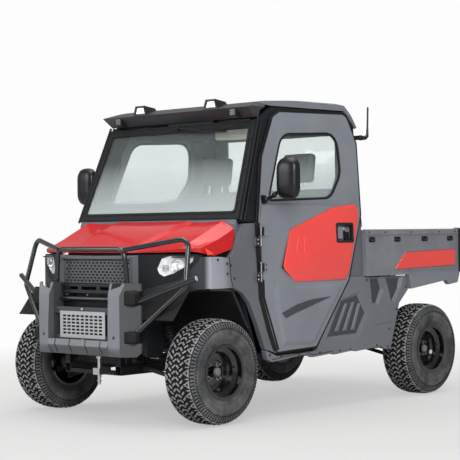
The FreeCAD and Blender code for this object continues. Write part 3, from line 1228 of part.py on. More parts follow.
gate = slab("tailgate_leaf", "YZ_Plane", [gate_corners], -1 * gate_half, gate_half,
            [((gate_corners[0], gate_corners[3]), S.tailgate_wall / 2 - 0.1)])
gate_bores = [rod(f"gate_bore_{side}", (x, gate_pivot, gate_pivot_level), "X", 20, S.gate_pin / 2 + 0.3)
              for side, x in (("left", gate_half - 19), ("right", -1 * gate_half - 1))]
keep(cut("tailgate", gate, fuse("gate_bores", *gate_bores)))

# Rear hitch: square receiver on the last cross member
level, size = S.receiver_level, S.receiver_bore / 2 + S.receiver_wall
receiver = cut("receiver_tube", block("receiver_outer", (-1 * size, S.frame_rear + 10.3, level - size),
                                      (size, S.frame_rear + 10 + S.receiver_length / 2, level + size)),
               block("receiver_inner", (S.receiver_bore / -2, S.frame_rear, level - S.receiver_bore / 2),
                     (S.receiver_bore / 2, S.frame_rear + S.receiver_length, level + S.receiver_bore / 2)))
keep(cut("rear_hitch", receiver, rod("receiver_pin_hole", (-1 * size - 1, S.frame_rear + 80, level), "X",
                                     2 * size + 2, S.receiver_pin / 2)))
lugs = [block(f"muffler_lug_{side}", (low, 1290, 548), (high, 1368, 572))
        for side, low, high in ((1, 140, 209.7), (-1, -209.7, -140))]
keep(fuse("muffler", rod("muffler_can", (-150, 1290, 560), "X", 300, 80), *lugs))

# Writing: every object is checked first, then each sub-part goes to a file named by its Label
doc.recompute()
faults = [obj.Label for obj in doc.Objects if {"Invalid", "Error"} & set(obj.State)]
faults += [obj.Label
           for obj in KEPT if obj.Shape.isNull() or not obj.Shape.isValid() or not obj.Shape.Solids]
if faults:
    raise RuntimeError("failed objects: " + ", ".join(faults))
os.makedirs("parts", exist_ok=True)
for obj in KEPT:
    obj.Shape.exportStep(f"parts/{obj.Label}.step")
print(len(KEPT), "sub-parts")
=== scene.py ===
"""Looks of the side by side utility vehicle: materials, seats, tread, trim and studio round the fixed frame.

Metres in the row frame: +Z up, the front of the vehicle towards -Y, its left side towards +X.
"""
import json
import math

import bmesh
import bpy
from mathutils import Matrix, Vector


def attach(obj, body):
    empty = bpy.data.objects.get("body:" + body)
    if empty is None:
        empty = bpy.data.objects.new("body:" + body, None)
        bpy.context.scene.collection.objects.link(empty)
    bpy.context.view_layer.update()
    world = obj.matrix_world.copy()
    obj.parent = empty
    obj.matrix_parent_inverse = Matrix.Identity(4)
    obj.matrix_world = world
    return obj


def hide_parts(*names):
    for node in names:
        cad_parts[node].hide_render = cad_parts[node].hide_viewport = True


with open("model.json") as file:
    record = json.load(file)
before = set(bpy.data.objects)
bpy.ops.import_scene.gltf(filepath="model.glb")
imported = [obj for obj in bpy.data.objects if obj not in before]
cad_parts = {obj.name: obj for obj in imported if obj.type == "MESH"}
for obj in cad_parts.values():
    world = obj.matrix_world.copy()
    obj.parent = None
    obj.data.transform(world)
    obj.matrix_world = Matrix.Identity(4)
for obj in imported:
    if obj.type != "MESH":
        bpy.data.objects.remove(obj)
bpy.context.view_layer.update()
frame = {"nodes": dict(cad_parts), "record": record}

# Camera of the photograph, fitted to the body's symmetric points, and its frame of 460 pixels
IMAGE_WIDTH = 460
SENSOR = 36.0
FOCAL_PIXELS = 1445.3
PRINCIPAL_X, PRINCIPAL_Y = 241.2, 235.9
CAMERA_PLACE = (6.647, -7.318, 1.144)
CAMERA_YAW, CAMERA_PITCH, CAMERA_ROLL = math.radians(42.325), math.radians(0.116), math.radians(-0.605)


def add_object(name, data):
    """An object of some data, linked to the scene."""
    made = bpy.data.objects.new(name, data)
    bpy.context.scene.collection.objects.link(made)
    return made


def add_camera():
    """The camera at the photograph's viewing angle."""
    data = bpy.data.cameras.new("photo_camera")
    data.sensor_width = SENSOR
    data.lens = FOCAL_PIXELS / IMAGE_WIDTH * SENSOR
    data.shift_x = (IMAGE_WIDTH / 2 - PRINCIPAL_X) / IMAGE_WIDTH
    data.shift_y = (PRINCIPAL_Y - IMAGE_WIDTH / 2) / IMAGE_WIDTH
    level = math.cos(CAMERA_PITCH)
    back = Vector((math.sin(CAMERA_YAW) * level, -math.cos(CAMERA_YAW) * level, math.sin(CAMERA_PITCH)))
    right = Vector((math.cos(CAMERA_YAW), math.sin(CAMERA_YAW), 0))
    up = back.cross(right)
    right, up = (right * math.cos(CAMERA_ROLL) + up * math.sin(CAMERA_ROLL),
                 up * math.cos(CAMERA_ROLL) - right * math.sin(CAMERA_ROLL))
    camera = add_object("photo_camera", data)
    camera.matrix_world = Matrix.Translation(CAMERA_PLACE) @ Matrix((right, up, back)).transposed().to_4x4()
    bpy.context.scene.camera = camera


# Nodes of the materials; each function returns the socket that the next one takes

def feed(tree, made, inputs):
    """Gives each input its value, or links it to the socket that it is given."""
    for key, value in inputs.items():
        if isinstance(value, bpy.types.NodeSocket):
            tree.links.new(value, made.inputs[key])
        else:
            made.inputs[key].default_value = value


def add_node(tree, kind, inputs=None, **settings):
    made = tree.nodes.new("ShaderNode" + kind)
    for key, value in settings.items():
        setattr(made, key, value)
    feed(tree, made, inputs or {})
    return made


def place(tree, axis=None, kind="Object"):
    """The object's own coordinates, or one of them."""
    found = add_node(tree, "TexCoord").outputs[kind]
    return add_node(tree, "SeparateXYZ", {"Vector": found}).outputs[axis] if axis else found


def noise(tree, scale, detail, rough=0.55, where=None):
    inputs = {"Vector": where or place(tree), "Scale": scale, "Detail": detail, "Roughness": rough}
    return add_node(tree, "TexNoise", inputs).outputs["Fac"]


def ramp(tree, source, stops):
    """A colour ramp over a factor; stops are (position, colour)."""
    made = add_node(tree, "ValToRGB", {"Fac": source})
    elements = made.color_ramp.elements
    while len(elements) < len(stops):
        elements.new(0.5)
    for element, (position, colour) in zip(elements, stops):
        element.position = position
        element.color = (*colour, 1)
    return made.outputs["Color"]


def map_range(tree, source, low, high, from_low=0.0, from_high=1.0, **settings):
    inputs = {"Value": source, "From Min": from_low, "From Max": from_high, "To Min": low, "To Max": high}
    return add_node(tree, "MapRange", inputs, **settings).outputs["Result"]


def bump(tree, height, strength, distance):
    made = add_node(tree, "Bump", {"Height": height, "Strength": strength, "Distance": distance})
    return made.outputs["Normal"]


def calculate(tree, operation, first, second):
    return add_node(tree, "Math", {0: first, 1: second}, operation=operation).outputs["Value"]


def mix_shader(tree, share, first, second):
    return add_node(tree, "MixShader", {"Fac": share, 1: first, 2: second}).outputs["Shader"]


def shades(colour, *stops):
    """Stops of a ramp with one colour at different strengths."""
    return [(at, tuple(min(1.0, c * factor) for c in colour)) for at, factor in stops]


# Materials

def new_material(name):
    """An empty node material with its Principled shader."""
    made = bpy.data.materials.new(name)
    made.use_nodes = True
    tree = made.node_tree
    return made, tree, tree.nodes["Principled BSDF"]


def skin(name, tone, stops, sheen, roughness, grain, relief, inputs):
    """A surface of three noises: one wanders in tone, one in roughness, and one is its relief."""
    made, tree, shader = new_material(name)
    feed(tree, shader, {"Base Color": ramp(tree, noise(tree, *tone), stops),
                        "Roughness": map_range(tree, noise(tree, *sheen), *roughness),
                        "Normal": bump(tree, noise(tree, *grain), *relief), **inputs})
    return made


def moulded(name, colour, roughness, level=0.5, grain=900.0, relief=0.35):
    """Moulded plastic: fine stipple in the surface, broad faint change of tone, uneven sheen."""
    return skin(name, (3.5, 3), shades(colour, (0.3, 0.92), (0.7, 1.08)), (14.0, 5),
                (roughness - 0.06, roughness + 0.08), (grain, 2, 0.6), (relief, 0.0006),
                {"Specular IOR Level": level})


def painted(name, colour, roughness, coat, coat_roughness, level=0.5):
    """Sprayed paint under clear lacquer, with faint orange peel."""
    return skin(name, (2.2, 2), shades(colour, (0.3, 0.96), (0.7, 1.04)), (30.0, 3),
                (roughness - 0.03, roughness + 0.05), (260.0, 2, 0.4), (0.04, 0.0008),
                {"Coat Weight": coat, "Coat Roughness": coat_roughness, "Specular IOR Level": level})


def coated(name, colour, roughness, relief=0.12, level=0.5):
    """Powder coat on steel: satin, with a fine pebble."""
    return skin(name, (6.0, 4), shades(colour, (0.25, 0.85), (0.75, 1.15)), (22.0, 4),
                (roughness - 0.07, roughness + 0.1), (700.0, 3, 0.5), (relief, 0.0005),
                {"Specular IOR Level": level})


def rubbery(name, colour, amount=0.25, dust=(0.2, 0.19, 0.18)):
    """Rubber with a bloom of pale dust and a fine moulded skin."""
    patch = (9.0, 6, 0.65)
    dusted = tuple(c * (1 - amount) + d * amount for c, d in zip(colour, dust))
    return skin(name, patch, [(0.35, colour), (0.8, dusted)], patch, (0.62, 0.85), (420.0, 3), (0.3, 0.0006),
                {"Specular IOR Level": 0.35})


def bare_metal(name, colour, roughness=0.3, stretch=(1, 1, 40)):
    """Brushed or plated metal with fine streaks."""
    made, tree, shader = new_material(name)
    drawn = add_node(tree, "Mapping", {"Vector": place(tree), "Scale": stretch}).outputs["Vector"]
    streak = noise(tree, 60.0, 4, 0.5, drawn)
    tone = ramp(tree, streak, shades(colour, (0.3, 0.88), (0.7, 1.08)))
    feed(tree, shader, {"Metallic": 1.0, "Base Color": tone,
                        "Roughness": map_range(tree, streak, roughness - 0.08, roughness + 0.1),
                        "Normal": bump(tree, streak, 0.06, 0.0004)})
    return made


HAZE_HIGH, HAZE_LOW = 1.62, 1.25


def clear_glass(name, tint, haze=0.0, haze_low=0.0):
    """Thin glazing: light goes straight through, tinted, with a haze that grows downwards."""
    made, tree, shader = new_material(name)
    tree.nodes.remove(shader)
    through = add_node(tree, "BsdfTransparent", {"Color": (*tint, 1)}).outputs["BSDF"]
    gloss = add_node(tree, "BsdfGlossy", {"Roughness": 0.03}).outputs["BSDF"]
    dust = add_node(tree, "BsdfDiffuse", {"Color": (0.66, 0.74, 0.74, 1)}).outputs["BSDF"]
    cover = map_range(tree, place(tree, "Z"), haze_low, haze, HAZE_LOW, HAZE_HIGH)
    facing = add_node(tree, "LayerWeight", {"Blend": 0.5}).outputs["Facing"]
    share = map_range(tree, calculate(tree, "POWER", facing, 4.0), 0.025, 0.9)
    mixed = mix_shader(tree, share, mix_shader(tree, cover, through, dust), gloss)
    feed(tree, tree.nodes["Material Output"], {"Surface": mixed})
    return made


def emissive(name, colour, strength):
    """A lamp's milky lens: it scatters light and gives a little off."""
    made, tree, shader = new_material(name)
    tone = ramp(tree, noise(tree, 40.0, 2), shades(colour, (0.3, 0.95), (0.7, 1.0)))
    feed(tree, shader, {"Base Color": tone, "Roughness": 0.15, "Coat Weight": 1.0,
                        "Emission Strength": strength})
    return made


def woven(name, colour):
    """Webbing: a fine weave across and along the strap."""
    made, tree, shader = new_material(name)
    threads = add_node(tree, "TexWave", {"Vector": place(tree), "Scale": 160.0, "Distortion": 1.5})
    weave = threads.outputs["Fac"]
    feed(tree, shader, {"Base Color": ramp(tree, weave, shades(colour, (0.2, 0.7), (0.8, 1.2))),
                        "Roughness": 0.8, "Normal": bump(tree, weave, 0.4, 0.0006)})
    return made


def shade_between(made, factor, dark):
    """Paints shade: mixes a dark colour into a finished material where the factor is low."""
    tree = made.node_tree
    target = tree.nodes["Principled BSDF"].inputs["Base Color"]
    mixed = add_node(tree, "Mix", {"Factor": factor, "A": (*dark, 1), "B": target.links[0].from_socket},
                 data_type="RGBA")
    tree.links.new(mixed.outputs["Result"], target)
    return made


# Painted light along the fender: places along it with their share of the light tone, and the level of its
# lip, below which the arch gets painted shade
FENDER_TONES = [(-1.14, 0.0), (-1.11, 1.0), (-1.0, 0.85), (-0.93, 0.35)]
FENDER_LIP = 0.815


def paint_fender_light(name, colour, dark):
    """The fender's plastic with painted light and shade: dark round the nose and in the arch, lighter on its
    side and fading backwards.
    """
    made = moulded(name, colour, 0.45)
    tree = made.node_tree
    front, rear = FENDER_TONES[0][0], FENDER_TONES[-1][0]
    along = map_range(tree, place(tree, "Y"), 0.0, 1.0, front, rear)
    back = ramp(tree, along, [((y - front) / (rear - front), (tone, tone, tone)) for y, tone in FENDER_TONES])
    high = map_range(tree, place(tree, "Z"), 0.0, 1.0, FENDER_LIP - 0.003, FENDER_LIP)
    return shade_between(made, calculate(tree, "MULTIPLY", back, high), dark)


# Masks of the bumper's painted light and shade: facing of its normals, depth behind its front face, and
# height above its foot
BUMPER_FACING = (-0.97, -0.8)
BUMPER_FACE = (-1.475, -1.462)
BUMPER_FOOT = (0.455, 0.475)


def paint_bumper_light(name, colour, dark):
    """The bumper's plastic with painted light and shade: bright on its front faces, dark on its flanks and
    chamfers.
    """
    made = moulded(name, colour, 0.5)
    tree = made.node_tree
    front = map_range(tree, place(tree, "Y", "Normal"), 1.0, 0.0, *BUMPER_FACING)
    outer = map_range(tree, place(tree, "Y"), 1.0, 0.0, *BUMPER_FACE)
    high = map_range(tree, place(tree, "Z"), 0.35, 1.0, *BUMPER_FOOT)
    both = calculate(tree, "MULTIPLY", calculate(tree, "MULTIPLY", front, outer), high)
    return shade_between(made, both, dark)


LOOKS = {
    "body_red": (painted, (0.86, 0.06, 0.05), 0.42, 0.35, 0.25),
    "hood_red": (painted, (0.50, 0.006, 0.008), 0.36, 0.45, 0.05, 0.25),
    "body_grey": (moulded, (0.20, 0.215, 0.243), 0.5),
    # a lighter copy of the body's grey, with painted light and shade on the fender
    "fender_grey": (paint_fender_light, (0.31, 0.322, 0.36), (0.02, 0.022, 0.026)),
    # the body's grey darkened as painted shade on the side and rear panels
    "panel_grey": (moulded, (0.15, 0.157, 0.178), 0.5),
    "roof_grey": (moulded, (0.145, 0.155, 0.178), 0.5),
    # the body's grey darkened as painted shade on the cowl, the grille's surround and the corner covers
    "cowl_grey": (moulded, (0.115, 0.12, 0.136), 0.5),
    "visor_black": (moulded, (0.03, 0.033, 0.038), 0.35, 0.5, 500, 0.1),
    # dark grey for painted shade: floors of the panel's recess and scoops, and the shadow under the door's
    # crease
    "hollow_grey": (moulded, (0.055, 0.058, 0.065), 0.5, 0.3),
    "mesh_grey": (moulded, (0.1, 0.103, 0.11), 0.35),
    "trim_black": (moulded, (0.014, 0.015, 0.018), 0.5, 0.25),
    "gloss_black": (moulded, (0.007, 0.008, 0.010), 0.28, 0.35, 500, 0.1),
    "frame_black": (coated, (0.010, 0.011, 0.013), 0.4, 0.12, 0.25),
    "guard_black": (painted, (0.011, 0.013, 0.016), 0.2, 0.4, 0.08),
    # the bumper's plastic with painted light on its front faces and painted shade on its flanks
    "bumper_grey": (paint_bumper_light, (0.17, 0.18, 0.2), (0.045, 0.048, 0.054)),
    "fascia_black": (moulded, (0.010, 0.012, 0.015), 0.5, 0.25),
    "engine_dark": (coated, (0.02, 0.021, 0.024), 0.5, 0.3, 0.3),
    "bed_coat": (coated, (0.185, 0.193, 0.218), 0.5, 0.3),
    "cast": (coated, (0.12, 0.12, 0.125), 0.6, 0.5),
    "steel": (bare_metal, (0.56, 0.56, 0.57)),
    "alloy": (bare_metal, (0.60, 0.61, 0.63), 0.38, (40, 1, 1)),
    "rim_black": (painted, (0.003, 0.0035, 0.0045), 0.16, 0.5, 0.03),
    "tyre_rubber": (rubbery, (0.035, 0.035, 0.037)),
    "seat_vinyl": (moulded, (0.06, 0.062, 0.066), 0.45, 0.5, 500, 0.6),
    "cab_glass": (clear_glass, (0.965, 0.985, 0.985), 0.05, 0.45),
    "lamp_clear": (clear_glass, (0.95, 0.96, 0.97)),
    "lamp_red": (clear_glass, (0.75, 0.05, 0.04)),
    "lamp_white": (emissive, (0.92, 0.92, 0.92), 0.5),
    "reflector": (emissive, (0.82, 0.82, 0.82), 0.2),
    # near-black: painted shade in the tread's grooves
    "tread_base": (rubbery, (0.004, 0.004, 0.005), 0.03),
    # pale: dust on the tread's tops and painted light on them
    "tread_top": (rubbery, (0.19, 0.195, 0.205), 0.6, (0.4, 0.4, 0.4)),
    "shoulder": (rubbery, (0.075, 0.078, 0.083), 0.5, (0.24, 0.24, 0.24)),
    "side_dusty": (rubbery, (0.045, 0.047, 0.05), 0.5, (0.34, 0.34, 0.34)),
    "side_dark": (rubbery, (0.018, 0.019, 0.021), 0.5, (0.24, 0.24, 0.24)),
    "sidewall": (rubbery, (0.03, 0.032, 0.035), 0.5, (0.3, 0.3, 0.3)),
    "bolt": (bare_metal, (0.5, 0.5, 0.5), 0.3),
    "bolt_black": (coated, (0.02, 0.02, 0.022), 0.35),
    "hub_cap": (moulded, (0.17, 0.17, 0.175), 0.35),
    "seal": (rubbery, (0.004, 0.004, 0.005), 0.03),
    "chrome": (bare_metal, (0.93, 0.94, 0.95), 0.12),
    "lens": (clear_glass, (0.97, 0.98, 0.99)),
    "mirror": (bare_metal, (0.9, 0.91, 0.92), 0.09),
    "belt": (woven, (0.05, 0.05, 0.053)),
    "seat_cloth": (moulded, (0.075, 0.078, 0.082), 0.6, 0.5, 900, 0.6),
    "visor_beige": (moulded, (0.55, 0.54, 0.42), 0.75),
    "liner": (moulded, (0.1, 0.105, 0.11), 0.8),
    # pale grey: the painted highlight along the bed's rails, and the round discs at the nose's corners
    "rail_pale": (moulded, (0.42, 0.43, 0.44), 0.5),
}
MATERIALS = {name: maker(name, *values) for name, (maker, *values) in LOOKS.items()}

# Nodes whose look is finer than the slot that the record gives them; the fender, bumper, panels, cowl and
# grille surround take greys with painted light and shade
OWN_LOOK = {"front_fascia": "fascia_black", "front_bumper": "bumper_grey", "radiator": "engine_dark",
            "suspension_arms": "engine_dark", "front_drive": "engine_dark", "hood": "hood_red",
            "front_fenders": "fender_grey", "side_panels": "panel_grey", "cowl": "cowl_grey",
            "rear_panel": "panel_grey", "roof_visor": "visor_black", "roof_shell": "roof_grey",
            "grille": "mesh_grey", "grille_surround": "cowl_grey"}
for entry in frame["record"]["subparts"]:
    node, slot_name = frame["nodes"][entry["node"]], entry["material_slot"]
    node.data.materials.clear()
    node.data.materials.append(MATERIALS[OWN_LOOK.get(entry["node"], slot_name)])


# Forms: a bmesh in millimetres that becomes a piece in metres

MM = 0.001
SHARP = math.radians(32)
SIDES = ((1, "left"), (-1, "right"))
# The longest share of an outline's side that one rounded corner may take
ARC_SHARE = 0.45
# Profiles of fixings: (distance along the axis, radius)
BOLT_HEAD = [(0, 8), (3, 8), (5, 5)]
SMALL_HEAD = [(0, 6), (4, 6), (6, 4)]


def corners_of(loop):
    """Each corner of an outline, with the way to it and the way on from it."""
    corners = [Vector((u, v)) for u, v in loop]
    for before, corner, after in zip(corners[-1:] + corners[:-1], corners, corners[1:] + corners[:1]):
        yield corner, corner - before, after - corner


def grown(loop, by):
    """An outline moved outwards by a distance on every side, or inwards where it is negative."""
    area = sum(a[0] * b[1] - b[0] * a[1] for a, b in zip(loop, loop[1:] + loop[:1]))
    turn = 1 if area > 0 else -1
    moved = []
    for corner, into, out in corners_of(loop):
        into, out = into.normalized(), out.normalized()
        side = Vector((into.y + out.y, -into.x - out.x)).normalized()
        scale = turn * by / (side.x * into.y - side.y * into.x)
        moved.append((corner.x + side.x * scale, corner.y + side.y * scale))
    return moved


def rounded(loop, radius, steps=4):
    """An outline with its corners turned into arcs."""
    made = []
    for corner, into, out in corners_of(loop):
        most = min(into.length, out.length) * ARC_SHARE
        into, out = into.normalized(), out.normalized()
        reach = min(radius * math.tan(into.angle(out) / 2), most)
        start, stop = corner - into * reach, corner + out * reach
        for step in range(steps + 1):
            share = step / steps
            made.append(tuple(start.lerp(corner, share).lerp(corner.lerp(stop, share), share)))
    return made


def box_loop(u, v, width, height):
    """The corners of a rectangle about its centre."""
    return [(u - width / 2, v - height / 2), (u + width / 2, v - height / 2),
            (u + width / 2, v + height / 2), (u - width / 2, v + height / 2)]


def soft_box(u, v, width, height, radius):
    return rounded(box_loop(u, v, width, height), radius)


def circle(radius, count):
    """Points round a circle about the origin."""
    turns = (2 * math.pi * i / count for i in range(count))
    return [(radius * math.cos(t), radius * math.sin(t)) for t in turns]


def spread(axis, at, u, v):
    """A point from its place along an axis and its two other coordinates."""
    return {"X": (at, u, v), "Y": (u, at, v), "Z": (u, v, at)}[axis]


def span(side, inner, outer):
    """The lower and the upper end of a stretch on one side of the vehicle."""
    return sorted((side * inner, side * outer))


def add_rings(form, rings, index=0, closed=False, capped=True):
    """Faces between rings of points that have equal numbers of corners."""
    made = [[form.verts.new(p) for p in ring] for ring in rings]
    faces = []
    count = len(made[0])
    for a, b in zip(made, made[1:] + (made[:1] if closed else [])):
        for i in range(count):
            j = (i + 1) % count
            faces.append(form.faces.new((a[i], a[j], b[j], b[i])))
    if capped and not closed:
        faces += [form.faces.new(made[0]), form.faces.new(made[-1])]
    for face in faces:
        face.material_index = index
    return faces


def add_prism(form, loop, axis, start, stop, inset=0.0, index=0):
    """A prism of an outline between two places along an axis; its far end narrows by inset."""
    far = grown(loop, -inset) if inset else loop
    return add_rings(form, [[spread(axis, start, u, v) for u, v in loop],
                            [spread(axis, stop, u, v) for u, v in far]], index)


def add_frame(form, outer, inner, axis, start, stop, index=0):
    """A ring-shaped prism between two outlines with equal numbers of corners."""
    return add_rings(form, [[spread(axis, at, u, v) for u, v in loop] for loop, at in (
        (outer, start), (outer, stop), (inner, stop), (inner, start))], index, closed=True)


def add_box(form, low, high, index=0):
    """A box between two corners."""
    loop = [(low[0], low[1]), (high[0], low[1]), (high[0], high[1]), (low[0], high[1])]
    return add_prism(form, loop, "Z", low[2], high[2], 0, index)


def ring_about(middle, across, up, radius, sides):
    return [middle + (across * math.cos(t) + up * math.sin(t)) * radius
            for t in (2 * math.pi * i / sides for i in range(sides))]


def add_turned(form, profile, centre, along, sides=32, index=0, capped=True):
    """A turned form: the profile holds (distance along the axis, radius)."""
    along = Vector(along).normalized()
    across = along.orthogonal().normalized()
    up = along.cross(across)
    rings = [ring_about(Vector(centre) + along * distance, across, up, max(radius, 0.05), sides)
             for distance, radius in profile]
    return add_rings(form, rings, index, capped=capped)


def smoothed(points, steps=6):
    """A Catmull-Rom line through the points."""
    line = [Vector(p) for p in points]
    ends = [line[0] * 2 - line[1]] + line + [line[-1] * 2 - line[-2]]
    made = []
    for a, b, c, d in zip(ends, ends[1:], ends[2:], ends[3:]):
        for step in range(steps):
            t = step / steps
            made.append(((b * 2) + (c - a) * t + (a * 2 - b * 5 + c * 4 - d) * t * t
                         + (b * 3 - a - c * 3 + d) * t * t * t) / 2)
    return made + [line[-1]]


def add_tube(form, points, radius, sides=10, index=0):
    """A round bar along a line of points."""
    line = [Vector(p) for p in points]
    along = (line[1] - line[0]).normalized()
    across = along.orthogonal().normalized()
    rings = []
    for number, middle in enumerate(line):
        before, after = line[max(number - 1, 0)], line[min(number + 1, len(line) - 1)]
        along = (after - before).normalized()
        across = (across - along * across.dot(along)).normalized()
        rings.append(ring_about(middle, across, along.cross(across), radius, sides))
    return add_rings(form, rings, index)


def between(table, x):
    """A value read off a table of (x, value), straight between its rows and level beyond them."""
    if x <= table[0][0]:
        return table[0][1]
    for (x0, y0), (x1, y1) in zip(table, table[1:]):
        if x <= x1:
            return y0 + (y1 - y0) * (x - x0) / (x1 - x0)
    return table[-1][1]


def cut(form, at, across):
    """Splits the faces of a form along a plane."""
    everything = form.verts[:] + form.edges[:] + form.faces[:]
    bmesh.ops.bisect_plane(form, geom=everything, plane_co=at, plane_no=across)


def mesh_of(name, form):
    """A mesh of a bmesh, which is used up."""
    data = bpy.data.meshes.new(name)
    form.to_mesh(data)
    form.free()
    return data


def absorb(form, part):
    """Adds a part's faces to a form."""
    kept = mesh_of("part", part)
    form.from_mesh(kept)
    bpy.data.meshes.remove(kept)


def finished(name, form):
    """An object of a form, with its faces turned outwards and its size in metres."""
    bmesh.ops.recalc_face_normals(form, faces=form.faces)
    bmesh.ops.scale(form, vec=(MM, MM, MM), verts=form.verts)
    return add_object(name, mesh_of(name, form))


def add_bevel(made, width, segments):
    edge = made.modifiers.new("edge", "BEVEL")
    edge.width = width
    edge.segments = segments
    return edge


def apply_modifiers(made):
    """Puts the modifiers of an object into its mesh."""
    layer = bpy.context.evaluated_depsgraph_get()
    data = bpy.data.meshes.new_from_object(made.evaluated_get(layer))
    made.modifiers.clear()
    made.data = data


def piece(name, form, looks, body="root", bevel=0.0, replaced=(), smooth=True):
    """A finished piece on its body, with its materials."""
    made = finished(name, form)
    if smooth:
        made.data.shade_smooth()
        made.data.set_sharp_from_angle(angle=SHARP)
    for look in looks.split():
        made.data.materials.append(MATERIALS[look])
    if bevel:
        edge = add_bevel(made, bevel * MM, 2)
        edge.limit_method = "ANGLE"
        edge.angle_limit = SHARP
    if replaced:
        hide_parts(*replaced)
    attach(made, body)
    return made


# Surfaces of the CAD solids that pieces lie on: the side wall, the door's insert and the nose in plan
WALL_HALF = [(340, 740), (830, 745), (1200, 732), (1925, 664), (2004, 652)]
INSERT_HALF = [(790, 748), (902, 759), (1200, 746), (1350, 732)]
NOSE_LINE = [(0, -1345), (325, -1333), (463, -1283), (640, -1205), (715, -1155), (745, -1100)]


def lay_on(form, table, side):
    """Moves a form whose X is its height over a side surface out onto that surface."""
    for vert in form.verts:
        vert.co.x = side * (between(table, vert.co.z) + vert.co.x)


def lay_part(form, part, table, side):
    """Lays a part on a side surface and adds it to a form."""
    lay_on(part, table, side)
    absorb(form, part)


def put_mirror(form, side):
    """Mirrors a form of the left side to the right."""
    if side < 0:
        for vert in form.verts:
            vert.co.x = -vert.co.x


# Tyres: carcass, blocks of the tread, shoulder lugs and sidewall

FRONT_AXLE, REAR_AXLE, WHEEL_HALF, AXLE_LEVEL = -1050, 1080, 692, 317.5
PITCHES = 28
PITCH = math.pi * 635 / PITCHES
TREAD_TOP = [(0, 316.6), (40, 316.2), (66, 314.5), (86, 310), (98, 302), (107, 290), (113, 276), (116.5, 262)]
TREAD_BASE = [(0, 304.5), (60, 303), (84, 298), (96, 290), (105, 279), (110, 268), (114, 258)]
CARCASS = [(98.5, 156), (99, 166), (103.5, 170), (104.5, 175), (109, 186), (113, 200), (115.6, 216),
           (116.4, 234), (115.6, 250), (113.5, 261), (109.5, 270), (103, 281), (94, 292), (82, 299),
           (60, 303), (30, 304.3)]
CARCASS_TOP = (0, 304.6)
BAR = (31, 13.5)
SIDE_RIB = ((112.2, 265), (114.6, 257), (116.0, 246), (115.0, 246))
TYRE_STEPS = 96
# Looks of the tyre and of its nuts in the order of their faces' numbers, and the radii under which a sidewall
# takes one of them
# The tread's base is near-black as painted shade in the grooves; its tops are pale with dust and painted
# light
TYRE_LOOKS = "tread_base tread_top sidewall shoulder side_dusty side_dark"
NUT_LOOKS = "bolt hub_cap trim_black"
SIDE_TONES = ((201, 5), (235, 2), (271, 4))


def tyre_point(centre, side, across, radius, turn):
    x, y, z = centre
    return (x + side * across, y + radius * math.sin(turn), z + radius * math.cos(turn))


def add_block(form, centre, side, loop, start, hollow=0.0, top=1):
    """A tread block: an outline of (across, along) raised from the base to the top of the tread."""
    def ring(points, table, lift, shrink):
        return [tyre_point(centre, side, u, between(table, abs(u)) + lift, start + v / AXLE_LEVEL)
                for u, v in (grown(points, -shrink) if shrink else points)]
    rings = [ring(loop, TREAD_BASE, -3, 0), ring(loop, TREAD_TOP, -1.5, 0.6), ring(loop, TREAD_TOP, 0, 2.0)]
    count = len(loop)
    if hollow:
        a, b = sum(u for u, _ in loop) / count, sum(v for _, v in loop) / count
        inner = [(a + (u - a) * hollow, b + (v - b) * hollow) for u, v in loop]
        rings += [ring(inner, TREAD_TOP, -0.2, 0), ring(inner, TREAD_TOP, -6, 1)]
    faces = add_rings(form, rings, top)
    # A block's lower sides, its foot and the floor of a hollow take the base's near-black: painted shade in
    # the grooves and hollows
    for face in faces[:count] + faces[-2:-1] + (faces[-1:] if hollow else []):
        face.material_index = 0


def add_tread(form, centre, side):
    """Zigzag rows of small slanted bars between outlined triangles and the lugs over both shoulders."""
    for row in range(PITCHES * 2):
        for column in range(4):
            slant = math.radians(40 if column % 2 else -40)
            cos, sin = math.cos(slant), math.sin(slant)
            across, along = -45 + 30 * column, PITCH / 4 if column in (1, 2) else 0
            bar = [(across + u * cos - v * sin, along + u * sin + v * cos) for u, v in box_loop(0, 0, *BAR)]
            add_block(form, centre, side, bar, 2 * math.pi * row / (PITCHES * 2))
    half = PITCH / 2
    for edge in (1, -1):
        for number in range(PITCHES):
            start = 2 * math.pi * (number + (0.25 if edge > 0 else 0.75)) / PITCHES
            triangle = [(56 * edge, 0), (98 * edge, 29), (98 * edge, -29)]
            spur = [(74 * edge, half - 3), (98 * edge, half - 6), (98 * edge, half + 6),
                    (74 * edge, half + 3)]
            add_block(form, centre, side, triangle, start, 0.5)
            add_block(form, centre, side, spur, start)
            for rib in range(3):
                along = PITCH * (rib - 1) / 3
                lug = [(100.5 * edge, along - 9), (115.8 * edge, along - 7), (115.8 * edge, along + 7),
                       (100.5 * edge, along + 9)]
                add_block(form, centre, side, lug, start, 0, 3)


def add_side_ribs(form, centre, side):
    """Fine ribs moulded in both sidewalls."""
    count = PITCHES * 5
    half = 0.42 * math.pi / count
    for edge in (1, -1):
        for number in range(count):
            turn = 2 * math.pi * number / count
            add_rings(form, [[tyre_point(centre, side, (across + lift) * edge, radius, turned)
                              for across, radius in SIDE_RIB]
                             for turned, lift in ((turn - half, 0), (turn, 1.4), (turn + half, 0))], 4)


def tyre_form(centre, side):
    form = bmesh.new()
    profile = CARCASS + [CARCASS_TOP] + [(-across, radius) for across, radius in reversed(CARCASS)]
    rings = [[tyre_point(centre, side, across, radius, 2 * math.pi * step / TYRE_STEPS)
              for across, radius in profile] for step in range(TYRE_STEPS)]
    for face in add_rings(form, rings, 0, closed=True):
        reach = max(math.hypot(v.co.y - centre[1], v.co.z - centre[2]) for v in face.verts)
        face.material_index = next((index for limit, index in SIDE_TONES if reach < limit), 0)
    add_tread(form, centre, side)
    add_side_ribs(form, centre, side)
    return form


